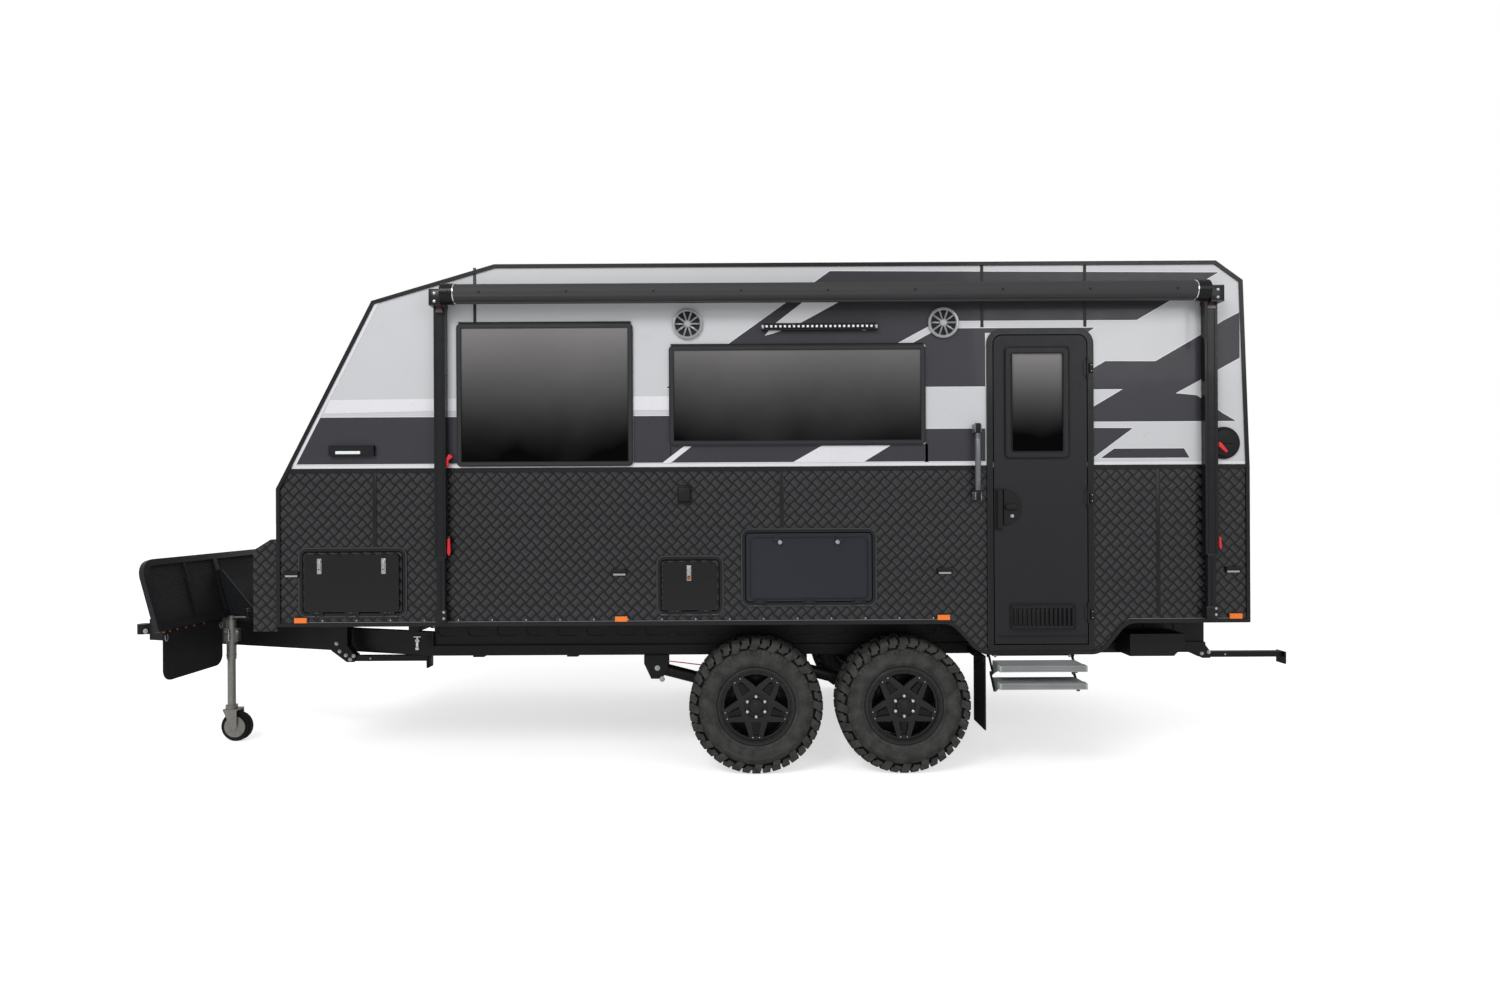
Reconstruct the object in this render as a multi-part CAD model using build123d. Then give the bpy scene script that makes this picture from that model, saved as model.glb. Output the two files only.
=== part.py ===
"""Twin-axle off-road caravan, parked on its jockey wheel.

The model is built with heights measured from the ground, the nose towards -X, the rear towards +X,
the kerb side (the side with the door) towards -Y and +Z up. X is measured from the coupling.
Each piece is lowered on export, so that the origin lies in the centre of the coupling's socket.
"""
from build123d import *
from math import cos, hypot, radians, sin
import os

os.makedirs("parts", exist_ok=True)

# Coupling and ground
coupling_height = 700.0
socket_radius = 17.5
socket_depth = 50.0

# Body shell, outer sizes
body_half_width = 1220.0
wall = 40.0
front_x = 1665.0
rear_x = 7390.0
floor_z = 905.0
nose_break_z = 1711.0
waist_x = 1720.0
waist_z = 1817.0
brow_x = 2231.0
brow_z = 2812.0
roof_front_x = 2952.0
roof_z = 3023.0
roof_rear_x = 7202.0
rear_top_x = 7355.0
rear_top_z = 2911.0
panel_break_z = 2905.0

# Dropped skirt under the entry door
drop_front_x = 5638.0
drop_z = 721.0
drop_bottom_front_x = 5814.0
drop_bottom_rear_x = 6519.0
drop_rear_x = 6671.0
drop_radius = 120.0

# Mouldings over the edges of the body
trim_proud = 8.0
trim_width = 14.0
trim_wrap = 40.0
waist_strip_height = 26.0
waist_strip_proud = 5.0

# Side windows: frame outlines
window_front = (2727.0, 3766.0, 1837.0, 2681.0)
window_rear = (3979.0, 5490.0, 1955.0, 2545.0)
window_corner = 28.0
window_flange = 12.0
window_frame_width = 28.0
window_proud = 14.0
glass_thickness = 8.0
glass_set_back = 4.0
seat_gap = 0.3

# Entry door
door_outline = (5850.0, 6479.0, 737.0, 2635.0)
door_top_radius = 90.0
door_bottom_radius = 20.0
door_frame_width = 35.0
door_frame_proud = 12.0
door_gap = 6.0
door_thickness = 40.0
door_window = (5956.0, 6334.0, 1872.0, 2527.0)
door_window_border = 40.0
door_window_corner = 24.0
vent_grille = (5990.0, 6357.0, 866.0, 1007.0)
vent_slots = 14
handle_x = (5900.0, 5936.0)
handle_z = (1450.0, 1693.0)
lock_plate_radius = 112.0
lock_plate_x = 5942.0
lock_plate_z = 1586.0
door_well_depth = 320.0
door_well_wall = 30.0

# Hatches in the lower walls, frame outlines
tunnel_hatch = (1786.0, 2428.0, 952.0, 1366.0)
small_hatch = (3898.0, 4296.0, 953.0, 1309.0)
table_hatch = (4398.0, 5199.0, 1003.0, 1466.0)
hatch_corner = 50.0
hatch_frame_width = 25.0
hatch_flange = 10.0
hatch_proud = 6.0
hatch_gap = 6.0
hatch_thickness = 30.0
liner_thickness = 6.0
small_locker_depth = 420.0
table_recess_depth = 90.0

# Hinge knuckles
knuckle_radius = 6.0
knuckle_length = 40.0
knuckle_stand_off = 7.0
knuckle_play = 0.4
leaf_thickness = 4.0
leaf_length = 22.0

# Front boot with its lid
boot_front_x = 1517.0
boot_bottom_z = 871.0
boot_shoulder_z = 1350.0
boot_top_x = 1620.0
boot_top_z = 1414.0
boot_wall = 12.0
lid_thickness = 14.0
lid_gap = 6.0

# Chassis
rail_outer_y = 820.0
rail_width = 50.0
rail_bottom_z = 650.0
rail_chord_height = 64.0
rail_web = 10.0
rail_flange = 8.0
rail_front_x = 2430.0
rail_rear_x = 7350.0
cross_member_width = 60.0
cross_member_places = (2470.0, 3120.0, 3650.0, 4200.0, 5150.0, 5900.0, 6600.0, 7150.0)
web_slot_length = 150.0
web_slot_height = 70.0
web_slot_depth = 6.0
web_slot_pitch = 190.0
rail_pad_places = (2717.0, 3316.0)
rail_pad_length = 70.0
rail_pad_height = 10.0
hanger_plate = 8.0

# Drawbar
drawbar_height = 150.0
drawbar_width = 50.0
drawbar_slope = 0.30
drawbar_nose_x = 150.0
drawbar_nose_outer_y = 137.0
bolster_width = 70.0
bolster_places = (1760.0, 2290.0)

# Coupling body
coupling_radius = 45.0
coupling_cap = 22.0
coupling_neck_height = 70.0
coupling_neck_width = 64.0
coupling_plate = 16.0
chain_eye_radius = 8.0
chain_eye_x = 200.0

# Stone guard on the drawbar
guard_bottom_x = 827.0
guard_bottom_z = 840.0
guard_top_x = 709.0
guard_top_z = 1280.0
guard_half_width = 1050.0
guard_tube = 40.0
guard_depth = 30.0
guard_corner = 110.0
guard_post_y = 340.0
guard_stiffener_y = 660.0
guard_stiffener_width = 14.0
guard_mesh_thickness = 4.0
flap_inner_y = 420.0
flap_outer_y = guard_half_width - 50.0
flap_thickness = 8.0
flap_bottom_z = 530.0
flap_corner = 70.0
mudflap_x = 5840.0
mudflap_top_z = 700.0
mudflap_bottom_z = 259.0
mudflap_inner_y = body_half_width - 280.0
mudflap_outer_y = body_half_width - 30.0
mudflap_bar_height = 40.0

# Wheels
tyre_width = 265.0
tyre_aspect = 0.70
rim_diameter = 431.8
rim_width = 203.0
rim_lip = 17.5
rim_wall = 11.0
tyre_radius = rim_diameter / 2 + tyre_width * tyre_aspect
lug_count = 16
lug_depth = 15.0
lug_row_width = 98.0
lug_shoulder_y = 127.0
lug_shoulder_scale = 0.955
lug_foot = 0.70
bore_sides = 24
sidewall_radius = 300.0
front_axle_x = 4483.0
axle_spacing = 882.0
wheel_y = 1060.0
spoke_count = 5
wheel_face_depth = 26.0
spoke_window_inner = 112.0
spoke_window_outer = 192.0
spoke_pocket = (98.0, 176.0)
spoke_pocket_depth = 16.0
hub_recess_radius = 76.0
hub_cap_radius = 44.0
nut_count = 6
nut_circle = 60.0
nut_radius = 10.0
hub_radius = 62.0
stub_radius = 25.0
running_clearance = 0.05
drum_radius = 150.0
drum_width = 60.0

# Trailing arms
pivot_ahead = 618.0
pivot_z = 563.0
arm_tube_radius = 38.0
arm_width = 76.0
arm_y = 795.0
pivot_boss_radius = 45.0
spring_radius = 55.0
spring_ahead = 90.0
damper_y = 888.0
damper_radius = 22.0

# Corner legs
leg_y = 725.0
leg_front_pivot_x = 1875.0
leg_rear_pivot_x = 7395.0
leg_pivot_z = 622.0
leg_length = 500.0
leg_height = 36.0
leg_width = 40.0
leg_pin_radius = 8.0
leg_plate = 6.0
leg_side_gap = 5.0
leg_foot_length = 90.0
leg_foot_thickness = 10.0

# Jockey wheel
jockey_x = 884.0
jockey_y = 400.0
sleeve_radius = 30.0
sleeve_bore = 25.3
sleeve_bottom_z = 560.0
sleeve_top_z = 830.0
jockey_overlap = 120.0
jockey_tube_radius = 25.0
jockey_wheel_radius = 100.0
jockey_wheel_width = 62.0
jockey_trail = 38.0
jockey_axle_radius = 8.0

# Folding step
step_x = (5870.0, 6370.0)
step_rail_height = 23.0
step_rail_depth = 28.0
step_pin_y = 1165.0
step_pin_z = 700.0
step_link_length = 110.0
step_link_angle = 48.0
step_link_width = 24.0
step_plate = 6.0
step_side_gap = 2.0
step_pin_radius = 5.0
step_front_y = 1400.0
step_tread_depth = 180.0
step_tread_top_z = 680.0
step_tread_height = 35.0
step_drop = 100.0
step_lower_pin_in = 40.0
step_lower_pin_down = 18.0

# Awning
awning_axis_z = 2833.0
awning_axis_y = body_half_width + 98.0
awning_radius = 56.0
awning_x = (2750.0, 7031.0)
awning_arm_x = ((2609.0, 2675.0), (7112.0, 7187.0))
awning_hub_x = (awning_arm_x[0][1] + seat_gap, awning_arm_x[1][0] - seat_gap)
awning_arm_depth = 42.0
awning_arm_gap = 12.0
awning_arm_bottom_z = 924.0
awning_arm_joint_z = 1300.0

# Roof
air_unit = (4700.0, 5650.0)
air_unit_half_width = 340.0
air_unit_height = 205.0
air_unit_corner = 120.0
roof_vent_x = (3350.0, 3850.0)
roof_vent_half_width = 250.0
roof_vent_height = 30.0
vent_lid_height = 45.0
vent_rim = 30.0

# Tanks and the low box at the rear
tank_places = ((2720.0, 3590.0), (6000.0, 6500.0))
tank_clearance = 30.0
tank_bottom_z = 720.0
low_box_x = (6780.0, 7118.0)
low_box_z = (663.0, 799.0)
low_box_outer_y = body_half_width - 200.0

# Lamps and fittings
light_bar_x = (4525.0, 5208.0)
light_bar_z = (2630.0, 2670.0)
light_bar_proud = 36.0
side_lamp_x = (1748.0, 3681.0, 5599.0, 7296.0)
side_lamp_z = (1193.0, 1217.0)
side_lamp_proud = 14.0
marker_x = (1802.0, 3691.0, 5590.0, 7310.0)
marker_z = (921.0, 951.0)
marker_proud = 16.0
lamp_half_length = 36.0
tail_lamp_y = (body_half_width - 280.0, body_half_width - 160.0)
tail_lamp_z = (1000.0, 1400.0)
tail_lamp_proud = 30.0
outlet_x = (4026.0, 4106.0)
outlet_z = (1615.0, 1723.0)
porch_lamp_x = (1978.0, 2243.0)
porch_lamp_z = (1904.0, 1966.0)
porch_lamp_proud = 26.0
round_cap_x = 7245.0
round_cap_z = 1955.0
round_cap_radius = 95.0
grab_x = 5786.0
grab_z = (1630.0, 2066.0)
grab_radius = 16.0
grab_stand_off = 50.0
speaker_x = (4090.0, 5597.0)
speaker_z = 2672.0
speaker_radius = 90.0
speaker_proud = 16.0
speaker_cone_radius = 74.0
speaker_cap_radius = 22.0
speaker_spokes = 10


def block(x, y, z):
    """Box between two limits along each axis."""
    centre = Pos((x[0] + x[1]) / 2, (y[0] + y[1]) / 2, (z[0] + z[1]) / 2)
    return centre * Box(abs(x[1] - x[0]), abs(y[1] - y[0]), abs(z[1] - z[0]))


def rod(start, end, radius):
    """Round bar between two points."""
    first = Vector(*start)
    run = Vector(*end) - first
    place = Plane(origin=first, z_dir=run.normalized())
    return place * Cylinder(radius, run.length, align=(Align.CENTER, Align.CENTER, Align.MIN))


def slab(outline, y_low, y_high):
    """Solid with an outline drawn in X and Z, between two values of Y."""
    place = Plane((0, y_high, 0), x_dir=(1, 0, 0), z_dir=(0, -1, 0))
    return place * extrude(outline, y_high - y_low, dir=(0, 0, 1))


def cross_slab(outline, x_low, x_high):
    """Solid with an outline drawn in Y and Z, between two values of X."""
    place = Plane((x_low, 0, 0), x_dir=(0, 1, 0), z_dir=(1, 0, 0))
    return place * extrude(outline, x_high - x_low, dir=(0, 0, 1))


def rounded(limits, radius, inset=0.0):
    """Rectangle with round corners from its X and Z limits, drawn in by an inset."""
    x0, x1, z0, z1 = limits
    centre = Pos((x0 + x1) / 2, (z0 + z1) / 2)
    return centre * RectangleRounded(x1 - x0 - 2 * inset, z1 - z0 - 2 * inset, max(radius - inset, 4.0))


def to_far_side(solid):
    """The same piece on the other side of the caravan."""
    return mirror(solid, about=Plane.XZ)


def both_sides(solids):
    """A list of kerb-side solids and their mirror images."""
    return list(solids) + [to_far_side(s) for s in solids]


def save(name, solids):
    """Writes one sub-part, lowered so that the coupling's centre is the origin."""
    pieces = []
    for solid in solids:
        pieces += list(solid.solids())
    shape = Compound(children=pieces) if len(pieces) > 1 else pieces[0]
    export_step(shape.moved(Location((0, 0, -coupling_height))), f"parts/{name}.step")


# Body outlines

def body_points():
    return [(front_x, floor_z), (front_x, nose_break_z), (waist_x, waist_z), (brow_x, brow_z),
            (roof_front_x, roof_z), (roof_rear_x, roof_z), (rear_top_x, rear_top_z), (rear_x, waist_z),
            (rear_x, floor_z)]


def dropped_points():
    """Corners of the skirt that hangs below the door, from the rear to the front."""
    return [(drop_rear_x, floor_z), (drop_bottom_rear_x, drop_z), (drop_bottom_front_x, drop_z),
            (drop_front_x, floor_z)]


def far_outline():
    return Polygon(*body_points(), align=None)


def near_outline():
    face = Polygon(*(body_points() + dropped_points()), align=None)
    corners = [v for v in face.vertices()
               if any(hypot(v.X - x, v.Y - z) < 1 for x, z in dropped_points())]
    return fillet(corners, drop_radius)


def door_face(inset=0.0):
    x0, x1, z0, z1 = door_outline
    centre = Pos((x0 + x1) / 2, (z0 + z1) / 2)
    face = centre * Rectangle(x1 - x0 - 2 * inset, z1 - z0 - 2 * inset)
    mid = (z0 + z1) / 2
    top = [v for v in face.vertices() if v.Y > mid]
    face = fillet(top, max(door_top_radius - inset, 8.0))
    low = [v for v in face.vertices() if v.Y < z0 + inset + 1]
    return fillet(low, max(door_bottom_radius - inset / 2, 4.0))


def band(z0, z1):
    """Everything between two heights, as a flat outline."""
    return Pos((front_x + rear_x) / 2, (z0 + z1) / 2) * Rectangle(2 * (rear_x - front_x), z1 - z0)


side_y = (-body_half_width, -body_half_width + wall)
inner_half_width = body_half_width - wall
hatches_near = (tunnel_hatch, small_hatch, table_hatch)
hatches_far = (tunnel_hatch,)


def hinge_along_x(x, z, face_y, up=1):
    """Knuckles of one hinge on a kerb-side face: the moving one and the pair that stays."""
    y = face_y - knuckle_stand_off
    half = knuckle_length / 2
    leaf_y = (face_y - leaf_thickness, face_y)
    moving = rod((x - half, y, z), (x + half, y, z), knuckle_radius)
    moving += block((x - half, x + half), leaf_y, (z, z + up * leaf_length))
    fixed = []
    for side in (-1, 1):
        start = x + side * (half + knuckle_play)
        end = start + side * half
        piece = rod((start, y, z), (end, y, z), knuckle_radius)
        piece += block((start, end), leaf_y, (z, z - up * leaf_length))
        fixed.append(piece)
    return moving, fixed


def hinge_along_z(x, y, z, toward_door):
    """Knuckles of one door hinge: the door's own and the pair on the frame."""
    half = knuckle_length
    leaf_y = (y + knuckle_stand_off - leaf_thickness, y + knuckle_stand_off)
    moving = rod((x, y, z - half), (x, y, z + half), knuckle_radius)
    moving += block((x, x + toward_door * leaf_length), leaf_y, (z - half, z + half))
    fixed = []
    for side in (-1, 1):
        start = z + side * (half + knuckle_play)
        end = start + side * half / 2
        piece = rod((x, y, start), (x, y, end), knuckle_radius)
        piece += block((x, x - toward_door * leaf_length), leaf_y, (start, end))
        fixed.append(piece)
    return moving, fixed


def hatch_face(limits, inset):
    return rounded(limits, hatch_corner, inset)


def hatch_hinge_z(limits):
    return limits[2] + hatch_frame_width + hatch_gap / 2


def hatch_hinge_places(limits):
    x0, x1 = limits[0], limits[1]
    count = 3 if x1 - x0 > 500 else 2
    margin = 110.0
    return [x0 + margin + i * (x1 - x0 - 2 * margin) / (count - 1) for i in range(count)]


def hatch_frame(limits):
    outer_y = -body_half_width - hatch_proud
    flange = slab(hatch_face(limits, 0), outer_y, -body_half_width)
    sleeve = slab(hatch_face(limits, hatch_flange), -body_half_width, -inner_half_width)
    hole = slab(hatch_face(limits, hatch_frame_width), outer_y - 1, -inner_half_width + 1)
    ring = flange + sleeve - hole
    for x in hatch_hinge_places(limits):
        for piece in hinge_along_x(x, hatch_hinge_z(limits), outer_y)[1]:
            ring += piece
    return ring


def hatch_panel(limits, latch_height=34.0):
    outer_y = -body_half_width - hatch_proud
    panel = slab(hatch_face(limits, hatch_frame_width + hatch_gap), outer_y, outer_y + hatch_thickness)
    for x in hatch_hinge_places(limits):
        panel += hinge_along_x(x, hatch_hinge_z(limits), outer_y)[0]
    for x in latch_places(limits):
        top = limits[3] - hatch_frame_width - hatch_gap - 12
        panel += block((x - 22, x + 22), (outer_y - 12, outer_y), (top - latch_height, top))
    return panel


def latch_places(limits):
    x0, x1 = limits[0], limits[1]
    if x1 - x0 < 500:
        return [(x0 + x1) / 2]
    return [x0 + 0.27 * (x1 - x0), x0 + 0.73 * (x1 - x0)]


# Body panels

def side_walls():
    """Upper and lower walls of both sides, with their windows, door and hatches cut."""
    door_cut = slab(door_face(door_frame_proud), side_y[0] - 1, side_y[1] + 1)
    upper = slab(far_outline() & band(waist_z, roof_z + 1), *side_y)
    for limits in (window_front, window_rear):
        upper -= slab(rounded(limits, window_corner, window_flange), side_y[0] - 1, side_y[1] + 1)
    lower = slab(near_outline() & band(drop_z - 1, waist_z), *side_y)
    for limits in hatches_near:
        lower -= slab(hatch_face(limits, hatch_flange), side_y[0] - 1, side_y[1] + 1)
    far_lower = slab(far_outline() & band(floor_z, waist_z), *side_y)
    for limits in hatches_far:
        far_lower -= slab(hatch_face(limits, hatch_flange), side_y[0] - 1, side_y[1] + 1)
    save("upper_walls", [upper - door_cut, to_far_side(upper)])
    save("lower_walls", [lower - door_cut, to_far_side(far_lower)])


def cross_panels():
    """Front, roof and rear panels between the side walls, cut from one ring."""
    outline = far_outline()
    ring = outline - offset(outline, -wall, kind=Kind.INTERSECTION)
    shell = slab(ring, -inner_half_width, inner_half_width)
    wide = (-2 * body_half_width, 2 * body_half_width)
    front = shell & block((front_x - 1, brow_x), wide, (floor_z + wall, waist_z))
    slope = shell & block((front_x - 1, roof_front_x), wide, (waist_z, roof_z + 1))
    roof = shell & block((roof_front_x, rear_x + 1), wide, (panel_break_z, roof_z + 1))
    rear = shell & block((roof_rear_x, rear_x + 1), wide, (floor_z + wall, panel_break_z))
    for x, half in ((roof_vent_x, roof_vent_half_width),):
        roof -= block(x, (-half, half), (roof_z - wall - 1, roof_z + 1))
    save("front_wall", [front])
    save("front_slope", [slope])
    save("roof", [roof])
    save("rear_wall", [rear])


def floor():
    plate = block((front_x, rear_x), (-inner_half_width, inner_half_width), (floor_z, floor_z + wall))
    x = (door_outline[0] + door_frame_width, door_outline[1] - door_frame_width)
    y = (-inner_half_width, -inner_half_width + door_well_depth)
    z = (drop_z + door_well_wall, floor_z + wall)
    outer = block((x[0] - door_well_wall, x[1] + door_well_wall), (y[0], y[1] + door_well_wall),
                  (drop_z, floor_z + wall))
    hollow = block(x, (y[0] - 1, y[1]), (z[0], z[1] + 1))
    save("floor", [plate + outer - hollow])


def edge_trim():
    """Mouldings that wrap the edges of both sides, with a strip along the waist."""
    pieces = []
    for outline in (near_outline(), far_outline()):
        cover = offset(outline, trim_proud) - offset(outline, -trim_width)
        moulding = slab(cover, -body_half_width - trim_proud, -body_half_width + trim_wrap)
        moulding -= slab(outline, -body_half_width, 0)
        strip = block((waist_x, rear_x), (-body_half_width - waist_strip_proud, -body_half_width),
                      (waist_z - waist_strip_height / 2, waist_z + waist_strip_height / 2))
        pieces.append(moulding + strip)
    near = pieces[0] - slab(door_face(0), -body_half_width - trim_proud - 1, 0)
    save("edge_trim", [near, to_far_side(pieces[1])])


def windows():
    frames = []
    panes = []
    face_y = -body_half_width - window_proud
    for limits in (window_front, window_rear):
        flange = slab(rounded(limits, window_corner), face_y, -body_half_width)
        sleeve = slab(rounded(limits, window_corner, window_flange), -body_half_width, -inner_half_width)
        hole = slab(rounded(limits, window_corner, window_frame_width), face_y - 1, -inner_half_width + 1)
        frames.append(flange + sleeve - hole)
        pane_y = face_y + glass_set_back
        outline = rounded(limits, window_corner, window_frame_width + seat_gap)
        panes.append(slab(outline, pane_y, pane_y + glass_thickness))
    save("window_frames", both_sides(frames))
    save("window_glass", both_sides(panes))


# Entry door

door_face_y = -body_half_width - door_frame_proud
door_hinge_x = door_outline[1] - door_frame_width - door_gap / 2
door_hinge_y = door_face_y - knuckle_stand_off
door_hinge_places = (960.0, 1640.0, 2400.0)


def entry_door():
    """Door with its window, handle and vent; returns the frame that it hangs in."""
    flange = slab(door_face(0), door_face_y, -body_half_width)
    sleeve = slab(door_face(door_frame_proud), -body_half_width, -inner_half_width)
    frame = flange + sleeve - slab(door_face(door_frame_width), door_face_y - 1, 0)
    panel = slab(door_face(door_frame_width + door_gap), door_face_y, door_face_y + door_thickness)
    border = rounded(door_window, door_window_corner)
    light = rounded(door_window, door_window_corner, door_window_border)
    panel += slab(border, door_face_y - 8, door_face_y)
    panel -= slab(light, door_face_y - 9, 0)
    grille = slab(rounded(vent_grille, 14.0), door_face_y - 6, door_face_y)
    pitch = (vent_grille[1] - vent_grille[0] - 42) / (vent_slots - 1)
    for i in range(vent_slots):
        x = vent_grille[0] + 21 + i * pitch
        slot_z = (vent_grille[2] + 18, vent_grille[3] - 18)
        grille -= block((x - 7, x + 7), (door_face_y - 7, door_face_y), slot_z)
    panel += grille
    half_disc = Pos(lock_plate_x, lock_plate_z) * Circle(lock_plate_radius)
    half_disc &= Pos(lock_plate_x + lock_plate_radius, lock_plate_z) * Rectangle(2 * lock_plate_radius,
                                                                                2 * lock_plate_radius)
    panel += slab(half_disc, door_face_y - 4, door_face_y)
    panel += block(handle_x, (door_face_y - 14, door_face_y), handle_z)
    for z in door_hinge_places:
        moving, fixed = hinge_along_z(door_hinge_x, door_hinge_y, z, -1)
        panel += moving
        for piece in fixed:
            frame += piece
    save("entry_door", [panel])
    pane = rounded(door_window, door_window_corner, door_window_border + seat_gap)
    save("door_glass", [slab(pane, door_face_y - 2, door_face_y - 2 + glass_thickness)])
    return frame


# Hatches and what lies behind them

def openings():
    """Entry door and hatches in their frames, with the liners behind them."""
    frames = [entry_door()]
    frames += [hatch_frame(limits) for limits in hatches_near]
    frames += [to_far_side(hatch_frame(limits)) for limits in hatches_far]
    save("door_frames", frames)
    save("tunnel_hatch_near", [hatch_panel(tunnel_hatch)])
    save("tunnel_hatch_far", [to_far_side(hatch_panel(tunnel_hatch))])
    save("small_hatch", [hatch_panel(small_hatch)])
    save("table_hatch", [hatch_panel(table_hatch)])
    save("locker_liners", [tunnel_liner(), locker_tub(small_hatch, small_locker_depth),
                           locker_tub(table_hatch, table_recess_depth)])


def liner_limits(limits, grow):
    x0, x1, z0, z1 = limits
    inset = hatch_frame_width - grow
    return (x0 + inset, x1 - inset), (z0 + inset, z1 - inset)


def tunnel_liner():
    """Square tube that runs from one side wall to the other."""
    y = (-inner_half_width, inner_half_width)
    x_out, z_out = liner_limits(tunnel_hatch, liner_thickness)
    x_in, z_in = liner_limits(tunnel_hatch, 0)
    z_out = (floor_z + wall, z_out[1])
    z_in = (floor_z + wall + liner_thickness, z_in[1])
    return block(x_out, y, z_out) - block(x_in, (y[0] - 1, y[1] + 1), z_in)


def locker_tub(limits, depth):
    """Tub behind a hatch, open towards it."""
    x_out, z_out = liner_limits(limits, liner_thickness)
    x_in, z_in = liner_limits(limits, 0)
    y0 = -inner_half_width
    return block(x_out, (y0, y0 + depth), z_out) - block(x_in, (y0 - 1, y0 + depth - liner_thickness), z_in)


# Front boot

lid_hinge_x = boot_front_x - knuckle_stand_off
lid_hinge_z = boot_shoulder_z - lid_gap / 2


def front_boot():
    """Box across the nose of the body, open to the front, with a lid hinged at its top."""
    points = [(boot_front_x, boot_bottom_z), (boot_front_x, boot_shoulder_z), (boot_top_x, boot_top_z),
              (front_x - trim_proud, boot_top_z), (front_x - trim_proud, boot_bottom_z)]
    outline = Polygon(*points, align=None)
    shell = slab(outline, -body_half_width, body_half_width)
    inner = slab(offset(outline, -boot_wall, kind=Kind.INTERSECTION), -body_half_width + boot_wall,
                 body_half_width - boot_wall)
    mouth = block((boot_front_x - 1, boot_front_x + lid_thickness + 1),
                  (-body_half_width + boot_wall, body_half_width - boot_wall),
                  (boot_bottom_z + boot_wall, boot_shoulder_z))
    shell = shell - inner - mouth
    lid = block((boot_front_x, boot_front_x + lid_thickness),
                (-body_half_width + boot_wall + lid_gap, body_half_width - boot_wall - lid_gap),
                (boot_bottom_z + boot_wall + lid_gap, boot_shoulder_z - lid_gap))
    for y in (-900.0, -300.0, 300.0, 900.0):
        half = knuckle_length / 2
        lid += rod((lid_hinge_x, y - half, lid_hinge_z), (lid_hinge_x, y + half, lid_hinge_z), knuckle_radius)
        lid += block((boot_front_x - leaf_thickness, boot_front_x), (y - half, y + half),
                     (lid_hinge_z - leaf_length, lid_hinge_z))
        for side in (-1, 1):
            start = y + side * (half + knuckle_play)
            end = start + side * half
            shell += rod((lid_hinge_x, start, lid_hinge_z), (lid_hinge_x, end, lid_hinge_z), knuckle_radius)
            shell += block((boot_front_x - leaf_thickness, boot_front_x + boot_wall), (start, end),
                           (lid_hinge_z, lid_hinge_z + leaf_length))
    save("front_boot", [shell])
    save("boot_lid", [lid])


# Chassis

def rail():
    """One main rail: a deep chord, a slotted web and a flange under the floor."""
    y = (-rail_outer_y, -rail_outer_y + rail_width)
    x = (rail_front_x, rail_rear_x)
    mid = (y[0] + y[1]) / 2
    chord_top = rail_bottom_z + rail_chord_height
    solid = block(x, y, (rail_bottom_z, chord_top))
    solid += block(x, (mid - rail_web / 2, mid + rail_web / 2), (chord_top, floor_z))
    solid += block(x, y, (floor_z - rail_flange, floor_z))
    slot_z = (chord_top + floor_z - rail_flange) / 2
    count = int((rail_rear_x - rail_front_x) / web_slot_pitch)
    web_y = mid - rail_web / 2
    for i in range(count):
        centre = rail_front_x + (i + 0.5) * web_slot_pitch
        slot = Pos(centre, slot_z) * SlotOverall(web_slot_length, web_slot_height)
        solid -= slab(slot, web_y - 1, web_y + web_slot_depth)
    for x_pad in rail_pad_places:
        pad_x = (x_pad - rail_pad_length / 2, x_pad + rail_pad_length / 2)
        solid += block(pad_x, y, (rail_bottom_z - rail_pad_height, rail_bottom_z))
    return solid


def main_frame():
    frame = rail() + to_far_side(rail())
    half = cross_member_width / 2
    inner = rail_outer_y - rail_width
    z = (rail_bottom_z, rail_bottom_z + rail_chord_height)
    for x in cross_member_places:
        frame += block((x - half, x + half), (-inner, inner), z)
    for pivot_x in arm_pivots():
        for side in (-1, 1):
            frame += hanger(pivot_x, side)
    save("main_frame", [frame])


def arm_pivots():
    return [front_axle_x + i * axle_spacing - pivot_ahead for i in range(2)]


def hanger(pivot_x, side):
    """Pair of six-sided plates under a rail that hold the front end of a trailing arm."""
    reach = arm_width / 2 + 1 + hanger_plate
    outline = Polygon((pivot_x - 90, rail_bottom_z), (pivot_x - 90, pivot_z + 35),
                      (pivot_x - 45, pivot_z - 62), (pivot_x + 25, pivot_z - 62), (pivot_x + 62, pivot_z),
                      (pivot_x + 62, rail_bottom_z), align=None)
    seat = block((pivot_x - 90, pivot_x + 62), (side * arm_y - reach, side * arm_y + reach),
                 (rail_bottom_z - hanger_plate, rail_bottom_z))
    pin = rod((pivot_x, side * arm_y - reach, pivot_z), (pivot_x, side * arm_y + reach, pivot_z), 12)
    plates = seat + pin
    for edge in (-1, 1):
        y = sorted((side * arm_y + edge * reach, side * arm_y + edge * (reach - hanger_plate)))
        plates += slab(outline, *y)
    return plates


def drawbar_outer_y(x):
    return drawbar_nose_outer_y + drawbar_slope * (x - drawbar_nose_x)


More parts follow.
